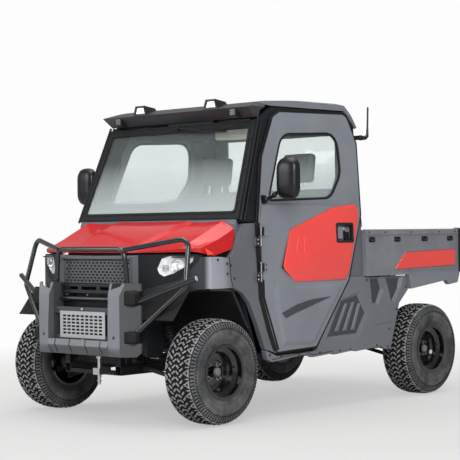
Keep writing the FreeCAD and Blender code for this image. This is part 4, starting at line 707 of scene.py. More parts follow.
def nut_form(centre, side):
    """Four nuts, the cap over the hub and the valve of a wheel."""
    form = bmesh.new()
    out = (side, 0, 0)
    for number in range(4):
        turn = math.radians(45 + 90 * number)
        at = (centre[0] + side * 7, centre[1] + 57 * math.sin(turn), centre[2] + 57 * math.cos(turn))
        add_turned(form, [(0, 15), (2, 15), (2.5, 11)], at, out, 20)
        add_turned(form, [(2, 10), (13, 10), (17, 8), (21, 5.5)], at, out, 6)
    hub = (centre[0] + side * 36.2, centre[1], centre[2])
    add_turned(form, [(0, 27), (9, 26), (15, 22), (18, 14), (18.5, 0.1)], hub, out, 28, 1)
    valve = (centre[0] + side * 40, centre[1] + 122, centre[2] + 20)
    add_turned(form, [(0, 4), (22, 3.5), (22.5, 4.5), (32, 4.5), (33, 3)], valve, out, 12, 2)
    return form


def add_wheels():
    for side, name in SIDES:
        for end, station in (("front", FRONT_AXLE), ("rear", REAR_AXLE)):
            centre = (WHEEL_HALF * side, station, AXLE_LEVEL)
            body = f"wheel_{end}_{name}"
            piece(f"tread_{end}_{name}", tyre_form(centre, side), TYRE_LOOKS, body,
                  replaced=[f"tyre_{end}_{name}"])
            piece(f"wheel_nuts_{end}_{name}", nut_form(centre, side), NUT_LOOKS, body)


# Seats: padded cushions blown up between pinned seams, with posts and belts

SEAT_AT = 376
RECLINE = math.radians(-8)
BACK_FOOT = Vector((0, -20, 796))
CUSHION_CAP, REST_CAP = 0.024, 0.022
CLOTH_FRAMES = 20
STRAP = [(612, 300, 1640), (606, 300, 1560), (598, 255, 1440), (590, 205, 1300), (584, 150, 1120),
         (592, 80, 930), (600, 20, 850)]
STRAP_EDGE = ((-1, -23), (1, -23), (1, 23), (-1, 23))


def puffed(name, low, high, seams, cap, pressure):
    """A stuffed pad: a rounded block remeshed finely and inflated, held along its seams and its back."""
    form = bmesh.new()
    add_box(form, low, high)
    pad = finished(name, form)
    add_bevel(pad, 0.026, 4)
    remesh = pad.modifiers.new("remesh", "REMESH")
    remesh.mode = "VOXEL"
    remesh.voxel_size = 0.006
    apply_modifiers(pad)
    held = pad.vertex_groups.new(name="held")
    held.add([v.index for v in pad.data.vertices if seams(v.co / MM)], 1.0, "REPLACE")
    rest = [v.co.copy() for v in pad.data.vertices]
    cloth = pad.modifiers.new("cloth", "CLOTH")
    cloth.settings.use_pressure = True
    cloth.settings.uniform_pressure_force = pressure
    cloth.settings.vertex_group_mass = "held"
    cloth.settings.effector_weights.gravity = 0
    for number in range(1, CLOTH_FRAMES + 1):
        bpy.context.scene.frame_set(number)
    layer = bpy.context.evaluated_depsgraph_get()
    blown = [v.co.copy() for v in pad.evaluated_get(layer).data.vertices]
    pad.modifiers.clear()
    bpy.context.scene.frame_set(1)
    for vert, start, end in zip(pad.data.vertices, rest, blown):
        move = end - start
        vert.co = start + move * min(1.0, cap / max(move.length, 1e-6))
    soft = pad.modifiers.new("soft", "SMOOTH")
    soft.iterations = 2
    apply_modifiers(pad)
    pad.data.shade_smooth()
    return pad


def cushion_seam(p):
    return p.z < 795 or (abs(abs(p.x) - 150) < 4 and p.z > 850) or (abs(p.y + 330) < 4 and abs(p.x) < 150)


def back_seam(p):
    return p.y > 96 or (abs(abs(p.x) - 140) < 4 and p.y < 30) or (abs(p.z - 470) < 4 and abs(p.x) < 140)


def rest_seam(p):
    return p.y > 88 or abs(abs(p.x) - 96) < 4


def add_seats():
    """The left seat is made once and used again on the right."""
    leaned = Matrix.Translation(BACK_FOOT * MM) @ Matrix.Rotation(RECLINE, 4, "X")
    pads = (("cushion", (-222, -492, 785), (222, -34, 880), cushion_seam, CUSHION_CAP, 4.0, Matrix()),
            ("back", (-214, 8, 12), (214, 104, 640), back_seam, CUSHION_CAP, 4.0, leaned),
            ("headrest", (-128, 26, 696), (128, 94, 892), rest_seam, REST_CAP, 3.0, leaned))
    for name, low, high, seams, cap, pressure, at in pads:
        left = puffed(f"seat_{name}_left", low, high, seams, cap, pressure)
        right = add_object(f"seat_{name}_right", left.data)
        left.data.materials.append(MATERIALS["seat_cloth"])
        for made, side in ((left, 1), (right, -1)):
            made.matrix_world = Matrix.Translation((SEAT_AT * side * MM, 0, 0)) @ at
            if name != "headrest":
                finer = made.modifiers.new("finer", "SUBSURF")
                finer.levels = finer.render_levels = 1
            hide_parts("seats")
            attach(made, "root")
    form = bmesh.new()
    for side, _ in SIDES:
        middle = SEAT_AT * side
        for post in (-60, 60):
            add_tube(form, [leaned @ (Vector((post, 60, level)) * MM) / MM + Vector((middle, 0, 0))
                            for level in (640, 705)], 6, 12, 1)
        add_box(form, (middle - 200, -470, 781), (middle + 200, -60, 790))
    piece("seat_posts", form, "trim_black steel", "root", replaced=["seats"])
    form = bmesh.new()
    for side, _ in SIDES:
        for part in zip(STRAP, STRAP[1:]):
            add_rings(form, [[(side * (x + dx), y + dy, z) for dx, dy in STRAP_EDGE] for x, y, z in part])
        add_box(form, (side * 616 - 12, 272, 1628), (side * 616 + 12, 328, 1700), 1)
        add_box(form, (side * 130 - 14, -30, 860), (side * 130 + 14, 14, 950), 1)
    piece("seat_belts", form, "belt gloss_black", bevel=2)


# Lamps

LAMP_EDGE = [(463, 936), (474, 905), (502, 888), (560, 906), (640, 952), (672, 980), (676, 1010), (577, 1012),
             (537, 1012), (490, 996)]
LAMP_BEND = 640
LAMP_LOOKS = "reflector lamp_white gloss_black chrome steel"
BEAM = (0.42, -1, 0)
BOWL = [(0, 22), (12, 30), (26, 37), (42, 42), (44, 45), (30, 45), (0, 40)]
BULB = [(4, 9), (26, 9), (34, 5), (36, 0.1)]


def nose_depth(x):
    return between(NOSE_LINE, abs(x))


def add_nose_shell(form, loop, start, stop, inner=0.0, open_front=False):
    """A form behind the nose's skin: an outline seen from the front, between two depths behind the skin."""
    flat = bmesh.new()
    flat.faces.new([flat.verts.new((x, 0, z)) for x, z in loop])
    cut(flat, (LAMP_BEND, 0, 0), (1, 0, 0))
    flat.verts.index_update()
    middle = Vector((sum(x for x, _ in loop) / len(loop), 0, sum(z for _, z in loop) / len(loop)))
    near, far = [], []
    for layer, depth, shrink in ((near, start, 0.0), (far, stop, inner)):
        for vert in flat.verts:
            at = vert.co.lerp(middle, shrink)
            layer.append(form.verts.new((at.x, nose_depth(at.x) + depth, at.z)))
    for face in flat.faces:
        for layer in (far,) if open_front else (near, far):
            form.faces.new([layer[v.index] for v in face.verts])
    for line in flat.edges:
        if len(line.link_faces) == 1:
            a, b = (v.index for v in line.verts)
            form.faces.new([near[a], near[b], far[b], far[a]])
    flat.free()


def add_headlamps():
    for side, name in SIDES:
        form = bmesh.new()
        add_nose_shell(form, grown(LAMP_EDGE, -0.5), 1.5, 5.5)
        put_mirror(form, side)
        piece(f"headlamp_lens_{name}", form, "lens", "root", replaced=["headlamps"],
              smooth=False)
        form = bmesh.new()
        add_nose_shell(form, grown(LAMP_EDGE, -1.5), 7, 62, 0.16, open_front=True)
        bowl = (566, nose_depth(566) + 58, 950)
        add_turned(form, BOWL, bowl, BEAM, 32, 3, capped=False)
        add_turned(form, BULB, bowl, BEAM, 16, 1)
        add_box(form, (516, nose_depth(516) + 12, 905), (521, nose_depth(516) + 60, 996))
        add_box(form, (626, nose_depth(626) + 12, 958), (630, nose_depth(626) + 50, 1002))
        for x in range(470, 515, 9):
            add_box(form, (x, nose_depth(x) + 34, 924), (x + 2, nose_depth(x) + 56, 984))
        add_box(form, (530, nose_depth(560) + 18, 1000), (655, nose_depth(560) + 90, 1007), 2)
        depth = nose_depth(505) + 14
        add_frame(form, soft_box(505, 938, 46, 36, 14), soft_box(505, 938, 38, 28, 11), "Y",
                  depth, depth + 8, 4)
        add_frame(form, soft_box(508, 938, 24, 12, 5), soft_box(508, 938, 18, 6, 3), "Y",
                  depth - 3, depth + 4, 4)
        put_mirror(form, side)
        piece(f"headlamp_inside_{name}", form, LAMP_LOOKS, "root", replaced=["headlamps"])


POD_EDGE = [(-62, 1932), (-42, 1996), (42, 1996), (62, 1932)]
POD_AT, POD_LEVEL, SMALL_LAMP_AT = 323, 1964, 523


def pod_loop(side, wide, tall):
    """The outline of a lamp pod's front, scaled about its middle."""
    return [(POD_AT * side + x * wide, POD_LEVEL + (z - POD_LEVEL) * tall) for x, z in POD_EDGE]


def add_roof_lamps():
    """Lenses of the two pods and of the small lamps, under the visor."""
    form = bmesh.new()
    for side, _ in SIDES:
        add_prism(form, grown(pod_loop(side, 0.76, 0.66), -1), "Y", -641, -648, 2)
        rim = pod_loop(side, 0.78, 0.68)
        add_frame(form, grown(rim, 10), rim, "Y", -657, -648, 1)
        for step in range(-30, 31, 10):
            x = POD_AT * side + step
            add_box(form, (x - 0.7, -650, 1944), (x + 0.7, -648, 1984), 2)
        middle = SMALL_LAMP_AT * side
        add_prism(form, soft_box(middle, 1901, 46, 44, 6), "Y", -656, -664, 2, 3)
        for level in (1888, 1901, 1914):
            add_box(form, (middle - 20, -667, level - 3.5), (middle + 20, -663, level + 3.5), 4)
    piece("roof_lamp_lenses", form, "lamp_white gloss_black lamp_clear gloss_black hub_cap", "root",
          bevel=1)


# Windscreen: its seal, the wiper and the motor behind the glass

SCREEN_FOOT, SCREEN_LEVEL, SCREEN_RAKE = -841, 1231, math.radians(21)
SCREEN_OUT = (0, -math.cos(SCREEN_RAKE), math.sin(SCREEN_RAKE))
SCREEN_OPEN = [(-685, 42), (685, 42), (630, 619), (-630, 619)]
SCREEN_EDGE = [(-731, 0), (731, 0), (672, 661), (-672, 661)]
PILLAR_LINES = (((739, -834, 1222), (675, -590, 1866)), ((737, -800, 1222), (672, -562, 1866)))
MOTOR_EDGE = [(-125, 1877), (-126, 1817), (-18, 1811), (284, 1852), (284, 1877)]
BLADE = ((40, 616), (250, 600), (440, 592))


def on_screen(x, along, out):
    """A point on the windscreen: across, up its slope and outwards from its face."""
    return (x, SCREEN_FOOT + along * math.sin(SCREEN_RAKE) - out * math.cos(SCREEN_RAKE),
            SCREEN_LEVEL + along * math.cos(SCREEN_RAKE) + out * math.sin(SCREEN_RAKE))


def add_screen_ring(form, outer, inner, height, depth, index):
    """A ring of seal on the windscreen, from just inside its face to a height, and down to a depth."""
    add_rings(form, [[on_screen(u, v, out) for u, v in loop] for loop, out in
                     ((outer, -1), (outer, height), (inner, height), (inner, depth))], index, closed=True)


def add_screen():
    form = bmesh.new()
    add_screen_ring(form, rounded(grown(SCREEN_OPEN, 7), 26), rounded(grown(SCREEN_OPEN, -9), 20), 3, -7, 0)
    add_screen_ring(form, rounded(grown(SCREEN_EDGE, -6), 16), rounded(grown(SCREEN_EDGE, -11), 14),
                    3.5, -1, 1)
    for side, _ in SIDES:
        for along in (120, 330, 540):
            at = on_screen(side * (708 - along * 0.088), along, 2)
            add_turned(form, [(0, 8), (3, 8), (4.5, 5)], at, SCREEN_OUT, 14, 1)
    for side, _ in SIDES:
        for line in PILLAR_LINES:
            add_tube(form, [(x * side, y, z) for x, y, z in line], 8, 12, 2)
    piece("screen_seal", form, "seal trim_black gloss_black", "root")
    form = bmesh.new()
    add_turned(form, [(0, 17), (16, 15), (22, 9)], on_screen(0, 640, 3), SCREEN_OUT, 20)
    arm = [on_screen(0, 640, 20), on_screen(60, 626, 24), on_screen(180, 610, 20), on_screen(250, 604, 14)]
    add_tube(form, smoothed(arm, 4), 6, 8)
    add_tube(form, [on_screen(*at, out) for at, out in zip(BLADE, (8, 9, 8))], 7, 8)
    add_tube(form, [on_screen(*at, 1) for at in BLADE], 3, 6)
    piece("wiper", form, "trim_black")
    form = bmesh.new()
    add_prism(form, MOTOR_EDGE, "Y", -585, -530, 3)
    add_turned(form, [(0, 30), (70, 30), (80, 22)], (-60, -560, 1838), (0, 1, 0), 24)
    piece("wiper_motor", form, "trim_black", bevel=3)


# Doors: seals, handle, gap strips, ribs of the insert and hinge bolts

WINDOW_EDGE = [(-392, 1782), (196, 1812), (205, 1520), (72, 1352), (-548, 1330), (-560, 1372)]
HANDLE_EDGE = box_loop(171, 1139, 172, 122)
DOOR_EDGE = [(-666, 1192), (-647, 742), (-507, 400), (-127, 412), (208, 828), (367, 1259), (383, 1737),
             (296, 1925), (-380, 1907), (-446, 1872), (-580, 1617)]
HINGE_LEVELS = (900, 1120)
HINGE_LINE, BARREL, PIN = -676, 9.3, 5
LEAF_HALF = (757.4, 760)
# Lines of (level, place along the vehicle) between which the gap's strips lie, and the gap's surface
GAP_FRONT = [(405, -545), (518, -600), (742, -684), (1206, -709)]
GAP_BACK = [(405, -511), (526, -562), (742, -649), (1206, -668)]
STRIP_FRONT = [(412, -509), (545, -560), (742, -645), (1206, -664)]
STRIP_BACK = [(412, -489), (545, -543), (742, -624), (1206, -643)]
GAP_HALF = [(405, 743), (792, 746.5), (1206, 745.5)]
RIBBON_STEPS = 24


def add_ribbon(form, front, back, low, high):
    """A strip up a side wall between two lines of (z, y), in short steps that follow the wall's bulge."""
    foot, head = front[0][0], front[-1][0]
    rings = []
    for step in range(RIBBON_STEPS + 1):
        z = foot + (head - foot) * step / RIBBON_STEPS
        near, far = between(front, z), between(back, z)
        rings.append([(low, near, z), (low, far, z), (high, far, z), (high, near, z)])
    add_rings(form, rings)


def add_hinge_leaf(form, side, start, stop, foot, head, barrel, pin, reach):
    """One leaf of a hinge, with the foot of its barrel and of the pin in it, and the barrel's reach."""
    low, high = span(side, *LEAF_HALF)
    add_box(form, (low, start, foot), (high, stop, head))
    add_turned(form, [(0, BARREL), (reach, BARREL)], (757 * side, HINGE_LINE, barrel), (0, 0, 1), 18)
    add_turned(form, [(0, PIN), (reach - 2, PIN)], (763 * side, HINGE_LINE - 1, pin), (0, 0, 1), 10, 1)


def add_door_gaps():
    """The black seal in the gap round each door, wider beside the hinges, and the covers of the hinges."""
    for side, name in SIDES:
        form = bmesh.new()
        add_frame(form, grown(DOOR_EDGE, 11), grown(DOOR_EDGE, 1.2), "X", -9, 1.2)
        lay_on(form, WALL_HALF, side)
        part = bmesh.new()
        add_ribbon(part, GAP_FRONT, GAP_BACK, -3, 1.5)
        lay_part(form, part, GAP_HALF, side)
        for level in HINGE_LEVELS:
            add_hinge_leaf(form, side, -712, -690, level - 54, level - 6, level - 58, level - 57, 54)
            for drop in (18, 42):
                add_turned(form, SMALL_HEAD, (759 * side, -701, level - drop), (side, 0, 0), 12, 1)
        piece(f"door_gap_{name}", form, "seal bolt")
        form = bmesh.new()
        add_ribbon(form, STRIP_FRONT, STRIP_BACK, -2, 1.4)
        lay_on(form, WALL_HALF, side)
        for level in HINGE_LEVELS:
            add_hinge_leaf(form, side, -662, -642, level + 6, level + 58, level + 3, level + 4, 58)
        piece(f"hinge_covers_{name}", form, "seal bolt", f"door_{name}", bevel=1)


INSERT_EDGE = [(-376, 1166), (69, 1307), (318, 1330), (343, 1262), (192, 832), (-333, 830), (-462, 922)]
# Insets of the insert's rounded edge with the depth of each below its face, and the levels where it bends
INSERT_STEPS = ((5, 7), (9, 2), (14, 0))
INSERT_RIM, INSERT_THICK = 15, 14
INSERT_LEVELS = (902, 1050, 1200)
CREASE_TOP = [(-478, 642), (-330, 690), (-180, 716), (3, 727)]
CREASE_FOOT = [(-449, 603), (-330, 640), (-180, 678), (3, 722)]
CREASE_STEPS = 12
DOOR_HALF = [(400, 752), (620, 755.5), (760, 757.5)]


def add_crease_shadow(side, name):
    """The dark scoop low in the door: painted shadow under its crease."""
    form = bmesh.new()
    rings = []
    start, stop = CREASE_TOP[0][0], CREASE_TOP[-1][0]
    for step in range(CREASE_STEPS + 1):
        y = start + (stop - start) * step / CREASE_STEPS
        top, foot = between(CREASE_TOP, y), between(CREASE_FOOT, y)
        foot = max(foot, top - 1.35 * (y - start) - 2)
        rings.append([(-3, y, foot), (1.2, y, foot), (1.2, y, top), (-3, y, top)])
    add_rings(form, rings)
    lay_on(form, DOOR_HALF, side)
    piece(f"door_crease_shadow_{name}", form, "hollow_grey", f"door_{name}", smooth=False)


def outer_edges(form):
    return [line for line in form.edges if len(line.link_faces) == 1]


def add_inserts():
    """The red inserts with rounded corners and edges; their face follows the door's bulge, and a dark ring on
    their edge is painted shade.
    """
    for side, name in SIDES:
        add_crease_shadow(side, name)
        form = bmesh.new()
        drop = form.verts.layers.float.new("drop")
        loop = rounded(grown(INSERT_EDGE, -0.5), 46, 6)
        face = form.faces.new([form.verts.new((0, y, z)) for y, z in loop])
        for vert in form.verts:
            vert[drop] = INSERT_RIM
        for number, (inset, depth) in enumerate(INSERT_STEPS):
            made = bmesh.ops.inset_individual(form, faces=[face], thickness=inset)["faces"]
            # The first, outermost ring of the edge takes the seal's black: painted shade round the insert
            for border in made if number == 0 else []:
                border.material_index = 1
            for vert in face.verts:
                vert[drop] = depth
        for level in INSERT_LEVELS:
            cut(form, (0, 0, level), (0, 0, 1))
        for vert in form.verts:
            vert.co.x = between(INSERT_HALF, vert.co.z) + 0.6 - vert[drop]
        made = bmesh.ops.extrude_edge_only(form, edges=outer_edges(form))["geom"]
        for vert in [v for v in made if isinstance(v, bmesh.types.BMVert)]:
            vert.co.x -= INSERT_THICK
        bmesh.ops.holes_fill(form, edges=outer_edges(form), sides=0)
        put_mirror(form, side)
        hole = bmesh.new()
        add_prism(hole, rounded(grown(HANDLE_EDGE, 3), 14), "X", *span(side, 700, 780))
        made = piece(f"insert_{name}", form, "body_red seal", f"door_{name}",
                     replaced=[f"door_insert_{name}"])
        cutter = finished(f"hole_{name}", hole)
        fit = made.modifiers.new("hole", "BOOLEAN")
        fit.operation = "DIFFERENCE"
        fit.object = cutter
        fit.solver = "EXACT"
        apply_modifiers(made)
        bpy.data.objects.remove(cutter)


MIRROR_X, MIRROR_Z = 920, 1476
MIRROR_ARM = [(742, -602, 1350), (770, -598, 1358), (806, -596, 1376), (850, -600, 1404), (892, -604, 1444)]
# The mirror's shell from its back to its glass: depth and share of its full outline
MIRROR_RINGS = ((-636, 0.30), (-635, 0.55), (-631, 0.74), (-623, 0.88), (-611, 0.97), (-596, 1.0),
                (-582, 0.99), (-579, 0.96))
# Half of a ball joint's profile, as shares of its radius
BALL = ((0.3, 0.95), (0.8, 0.6))
CHEVRON_STARTS = (-298, -228)


def mirror_loop(width, height, radius):
    return [(MIRROR_X + x, MIRROR_Z + z) for x, z in rounded(box_loop(0, 0, width, height), radius, 8)]


def add_mirror(side, name):
    """The outside mirror with its shell, glass and jointed arm."""
    form = bmesh.new()
    add_rings(form, [[(x, depth, z) for x, z in mirror_loop(166 * scale, 258 * scale, 78 * scale)]
                     for depth, scale in MIRROR_RINGS])
    add_prism(form, mirror_loop(150, 242, 70), "Y", -580, -577.5, 1, 1)
    add_tube(form, smoothed(MIRROR_ARM, 5), 11, 14)
    for at, radius in zip(MIRROR_ARM[::2], (20, 18, 24)):
        near = [(-radius * along, radius * out) for along, out in reversed(BALL)]
        far = [(radius * along, radius * out) for along, out in BALL]
        add_turned(form, [(-radius, 1)] + near + far + [(radius, 1)], at, (0.3, -1, 0.2), 20)
    add_prism(form, soft_box(-602, 1350, 44, 56, 12), "X", 716, 734, 3)
    put_mirror(form, side)
    piece(f"mirror_{name}", form, "gloss_black mirror", f"door_{name}",
          replaced=[f"door_mirror_{name}"])


def add_doors():
    for side, name in SIDES:
        body = f"door_{name}"
        form = bmesh.new()
        edge = rounded(grown(WINDOW_EDGE, -8), 150, 8)
        add_frame(form, rounded(grown(WINDOW_EDGE, 6), 40, 8), edge, "X", -6, 1, 1)
        add_frame(form, edge, rounded(grown(WINDOW_EDGE, -22), 130, 8), "X", -8, 3)
        lay_on(form, WALL_HALF, side)
        piece(f"window_seal_{name}", form, "seal body_grey", body, bevel=1)
        form = bmesh.new()
        add_frame(form, rounded(grown(HANDLE_EDGE, 5), 16), rounded(grown(HANDLE_EDGE, -10), 10), "X", 10, 18)
        add_frame(form, soft_box(216, 1137, 74, 92, 12), soft_box(216, 1137, 62, 80, 9), "X", -6, 8, 1)
        add_prism(form, soft_box(216, 1137, 60, 78, 9), "X", -14, -9, 0, 1)
        add_prism(form, soft_box(128, 1139, 58, 80, 10), "X", -4, 2, 4)
        add_turned(form, [(0, 13), (9, 13), (10, 11)], (0, 172, 1166), (1, 0, 0), 24, 2)
        add_box(form, (9, 171, 1158), (10.6, 173, 1174), 1)
        for level in (1112, 1130, 1148):
            add_box(form, (1, 108, level), (5, 148, level + 8))
        lay_on(form, WALL_HALF, side)
        piece(f"door_handle_{name}", form, "trim_black seal alloy", body, bevel=1.5)
        form = bmesh.new()
        for start in CHEVRON_STARTS:
            line = [(start, 1121), (start - 23, 1042), (start + 11, 941)]
            loop = [(y - 9, z) for y, z in line] + [(y + 9, z) for y, z in reversed(line)]
            add_prism(form, loop, "X", -2, 5, 3)
        lay_on(form, INSERT_HALF, side)
        piece(f"insert_ribs_{name}", form, "body_red", body, bevel=2)
        form = bmesh.new()
        for level in HINGE_LEVELS:
            for rise in (16, 46):
                add_turned(form, BOLT_HEAD, (12, -624, level + rise), (1, 0, 0), 6)
            add_turned(form, [(0, 5), (4, 5)], (14, -652, level + 32), (1, 0, 0), 12)
        lay_on(form, WALL_HALF, side)
        piece(f"hinge_bolts_{name}", form, "bolt_black", body)
        add_mirror(side, name)


# Nose: boots and bolts of the bumper, the shroud behind it, the tow pin's clip and the cowl's pins

BUMPER_FRONT = [(470, -1504), (780, -1490)]
PIN_X, PIN_Y = 138, -1455


def add_nose():
    form = bmesh.new()
    for side, _ in SIDES:
        for level, tall, wide in ((764, 92, 74), (531, 76, 64)):
            loop = soft_box(-1442, level, wide, tall, 22)
            add_prism(form, loop, "X", side * 386, side * 440)
            add_prism(form, loop, "X", side * 440, side * 462, 16)
    piece("bumper_boots", form, "seal", "root", bevel=3)
    form = bmesh.new()
    for level in (690, 499):
        add_turned(form, [(0, 9), (4, 9), (7, 6)], (0, -1465, level), (0, -1, 0), 18)
    for side, _ in SIDES:
        for level in (505, 682):
            add_turned(form, BOLT_HEAD, (232 * side, -1462, level), (0, -1, 0), 6, 1)
        for level in (530, 650, 770):
            add_turned(form, [(0, 9), (3, 9), (5, 5)], (319 * side, between(BUMPER_FRONT, level), level),
                       (0, -1, 0.03), 16, 1)
    for x in (-198, 124):
        add_turned(form, [(0, 7), (3, 7), (5, 4)], (x, -1410, 794), (0, -1, 0), 14, 1)
    for side, _ in SIDES:
        add_turned(form, [(0, 15.6), (3, 15), (5, 10)], (side * 797, -1287, 882),
                   (side * 0.93, 0.35, 0.36), 20, 2)
    piece("nose_bolts", form, "bolt bolt_black rail_pale", "root")
    form = bmesh.new()
    add_box(form, (-316, -1299, 792), (316, -1296, 1034))
    for side, _ in SIDES:
        low, high = span(side, 224, 318)
        add_box(form, (low, -1299, 560), (high, -1296, 792))
    for x in (-190, 0, 190):
        add_turned(form, [(0, 4), (20, 4)], (x, -1424, 776), (0, 1, 0), 8, 1)
    piece("nose_shroud", form, "seal bolt", smooth=False)
    form = bmesh.new()
    add_turned(form, [(0, 12), (6, 18), (12, 18), (14, 12)], (PIN_X, PIN_Y, 398), (0, 0, 1), 24)
    ring = [(PIN_X + x, PIN_Y + y, 262) for x, y in circle(16, 18)]
    add_tube(form, ring + ring[:1], 1.8, 6)
    clip = [(PIN_X, PIN_Y, 262), (160, -1470, 250), (176, -1466, 276), (160, -1462, 300)]
    add_tube(form, smoothed(clip, 5), 1.8, 6)
    piece("tow_clip", form, "alloy", "root")
    form = bmesh.new()
    for side, _ in SIDES:
        for y, z in ((-930, 950), (-900, 870)):
            part = bmesh.new()
            add_turned(part, BOLT_HEAD, (0, y, z), (1, 0, 0), 16)
            lay_part(form, part, WALL_HALF, side)
    piece("cowl_pins", form, "bolt_black")


# Load bed: rail line of painted highlight, hooks, corner posts, latch and lamps

HOOK_STATIONS = (462, 752, 1074, 1390)
RIVET_STATIONS = (420, 600, 900, 1240, 1440)


def add_bed():
    form = bmesh.new()
    for side, _ in SIDES:
        for y in HOOK_STATIONS:
            hook = [(side * 748, y - 26, 1104), (side * 757, y - 22, 1088), (side * 757, y + 22, 1088),
                    (side * 748, y + 26, 1104)]
            add_tube(form, smoothed(hook, 4), 5.5, 8)
            # Dark plates on the floors of the tie-down pockets: painted shade in them
            add_prism(form, soft_box(y, 1090, 76, 32, 4), "X", side * 744.2, side * 746, 0, 1)
        for y in RIVET_STATIONS:
            add_turned(form, [(0, 7), (2.5, 7), (4, 4)], (side * 759.5, y, 1139), (side, 0, 0), 14)
        add_box(form, (side * 742 - 14, 1474, 1158), (side * 742 + 14, 1510, 1166), 1)
        low, high = span(side, 760, 764)
        add_box(form, (low, 1476, 850), (high, 1512, 1158), 1)
    piece("bed_trim", form, "bolt_black seal", "bed", bevel=1.5)
    # A pale line along the top of each rail: painted highlight
    form = bmesh.new()
    for side, _ in SIDES:
        low, high = span(side, 722, 728)
        add_box(form, (low, 400, 1156.5), (high, 1470, 1160))
    piece("bed_rail_highlight", form, "rail_pale", "bed", bevel=1)
    form = bmesh.new()
    for side, _ in SIDES:
        middle = 741 * side
        add_prism(form, soft_box(middle, 955, 24, 104, 6), "Y", 1520, 1523, 1.5)
        for level in (922, 955, 988):
            add_turned(form, [(0, 9), (2, 8), (3, 4)], (middle, 1522, level), (0, 1, 0), 18, 1)
    piece("tail_lamp_lenses", form, "lamp_red lamp_clear", "bed")
    form = bmesh.new()
    add_prism(form, soft_box(0, 1050, 240, 74, 12), "Y", 1511, 1516, 3)
    add_prism(form, soft_box(0, 1058, 190, 34, 8), "Y", 1516, 1526, 5, 1)
    for x in range(-570, 571, 190):
        add_prism(form, soft_box(x, 950, 70, 96, 10), "Y", 1511, 1515, 6)
    piece("tailgate_latch", form, "body_grey trim_black", "tailgate", bevel=1)


# Side panels: painted shade in their hollows and arches, their bolts and lines

RECESS_EDGE = [(146, 688), (313, 722), (395, 600), (301, 470), (2, 462)]
SCOOP_EDGES = [[(437, 840), (566, 840), (604, 755), (540, 646), (466, 640)],
               [(612, 840), (820, 840), (793, 749), (724, 652), (683, 655)]]
ARCH = [(-1387, 637), (-1248.5, 809), (-882, 787), (-748, 558)]
ARCH_MIDDLE = (-1065, 500)
PANEL_BOLTS = [(-580, 385), (-470, 372), (-300, 368), (-90, 368), (120, 366), (230, 366), (520, 376),
               (640, 360), (660, 480), (740, 610), (850, 760), (410, 820)]
FENDER_BOLTS = [(-960, 960), (-960, 900), (-1040, 985)]
SILL_LINE = [(-560, 354), (-228, 379), (-157, 356), (48, 368)]
FENDER_LINE = [(-915, 815), (-933, 879), (-939, 1000)]
HOOD_HALF = [(1008, 716), (1060, 706)]
CORNER_HALF = [(852, 727), (1166, 716), (1206, 714)]
CORNER_FRONT = [(832, 228), (1200, 352)]
CORNER_BACK = [(832, 386), (1200, 386)]


def add_hollows():
    """Painted shade: dark floors in the louvred recess and in the scoops, and dark skins over the liners in
    the front arches.
    """
    form = bmesh.new()
    for side, _ in SIDES:
        add_prism(form, grown(RECESS_EDGE, -1), "X", side * 730.2, side * 731.6)
        for scoop in SCOOP_EDGES:
            add_prism(form, grown(scoop, -20), "X", side * 721.2, side * 723)
    piece("panel_hollow_shade", form, "hollow_grey")
    form = bmesh.new()
    inner = [(y + (ARCH_MIDDLE[0] - y) * 0.008, z + (ARCH_MIDDLE[1] - z) * 0.008) for y, z in ARCH]
    for side, _ in SIDES:
        add_prism(form, ARCH + inner[::-1], "X", *span(side, 352, 702))
    piece("arch_painted_shade", form, "seal")


def add_panels():
    form = bmesh.new()
    for side, _ in SIDES:
        part = bmesh.new()
        add_ribbon(part, CORNER_FRONT, CORNER_BACK, -3, 2)
        lay_part(form, part, CORNER_HALF, side)
    # The covers take the cowl's grey, darkened as painted shade
    piece("corner_covers", form, "cowl_grey", "root", smooth=False)
    form = bmesh.new()
    for side, _ in SIDES:
        part = bmesh.new()
        for y, z in PANEL_BOLTS + FENDER_BOLTS:
            add_turned(part, [(-1, 8.5), (1.5, 8.5), (3.5, 5)], (0, y, z), (1, 0, 0), 14)
        add_prism(part, SILL_LINE + [(y, z + 4) for y, z in reversed(SILL_LINE)], "X", -1, 2.5)
        lay_part(form, part, WALL_HALF, side)
    for side, _ in SIDES:
        part = bmesh.new()
        loop = [(y - 2.5, z) for y, z in FENDER_LINE] + [(y + 3, z) for y, z in reversed(FENDER_LINE)]
        add_prism(part, loop, "X", -2, 0.8, 0, 1)
        lay_part(form, part, WALL_HALF, side)
    piece("panel_bolts", form, "bolt_black seal")
    form = bmesh.new()
    for side, _ in SIDES:
        part = bmesh.new()
        add_prism(part, rounded([(-1121, 1058), (-1040, 1020), (-1104, 1012)], 5), "X", 0, 3, 1)
        lay_part(form, part, HOOD_HALF, side)
    piece("hood_markers", form, "body_red", "hood")


def add_antenna():
    form = bmesh.new()
    add_turned(form, [(0, 9), (40, 8), (60, 6.5), (196, 6), (200, 3)], (712, 473, 1784), (0, 0.04, 1), 14)
    foot = [(690, 404, 1775), (704, 428, 1772), (712, 452, 1776), (712, 472, 1792)]
    add_tube(form, smoothed(foot, 5), 12, 12)
    add_turned(form, [(0, 18), (14, 18), (18, 12)], (702, 404, 1775), (0, 1, 0), 20)
    piece("antenna_cover", form, "gloss_black")


# Inside the cab: dash, console, headliner, visors, grab handles and controls

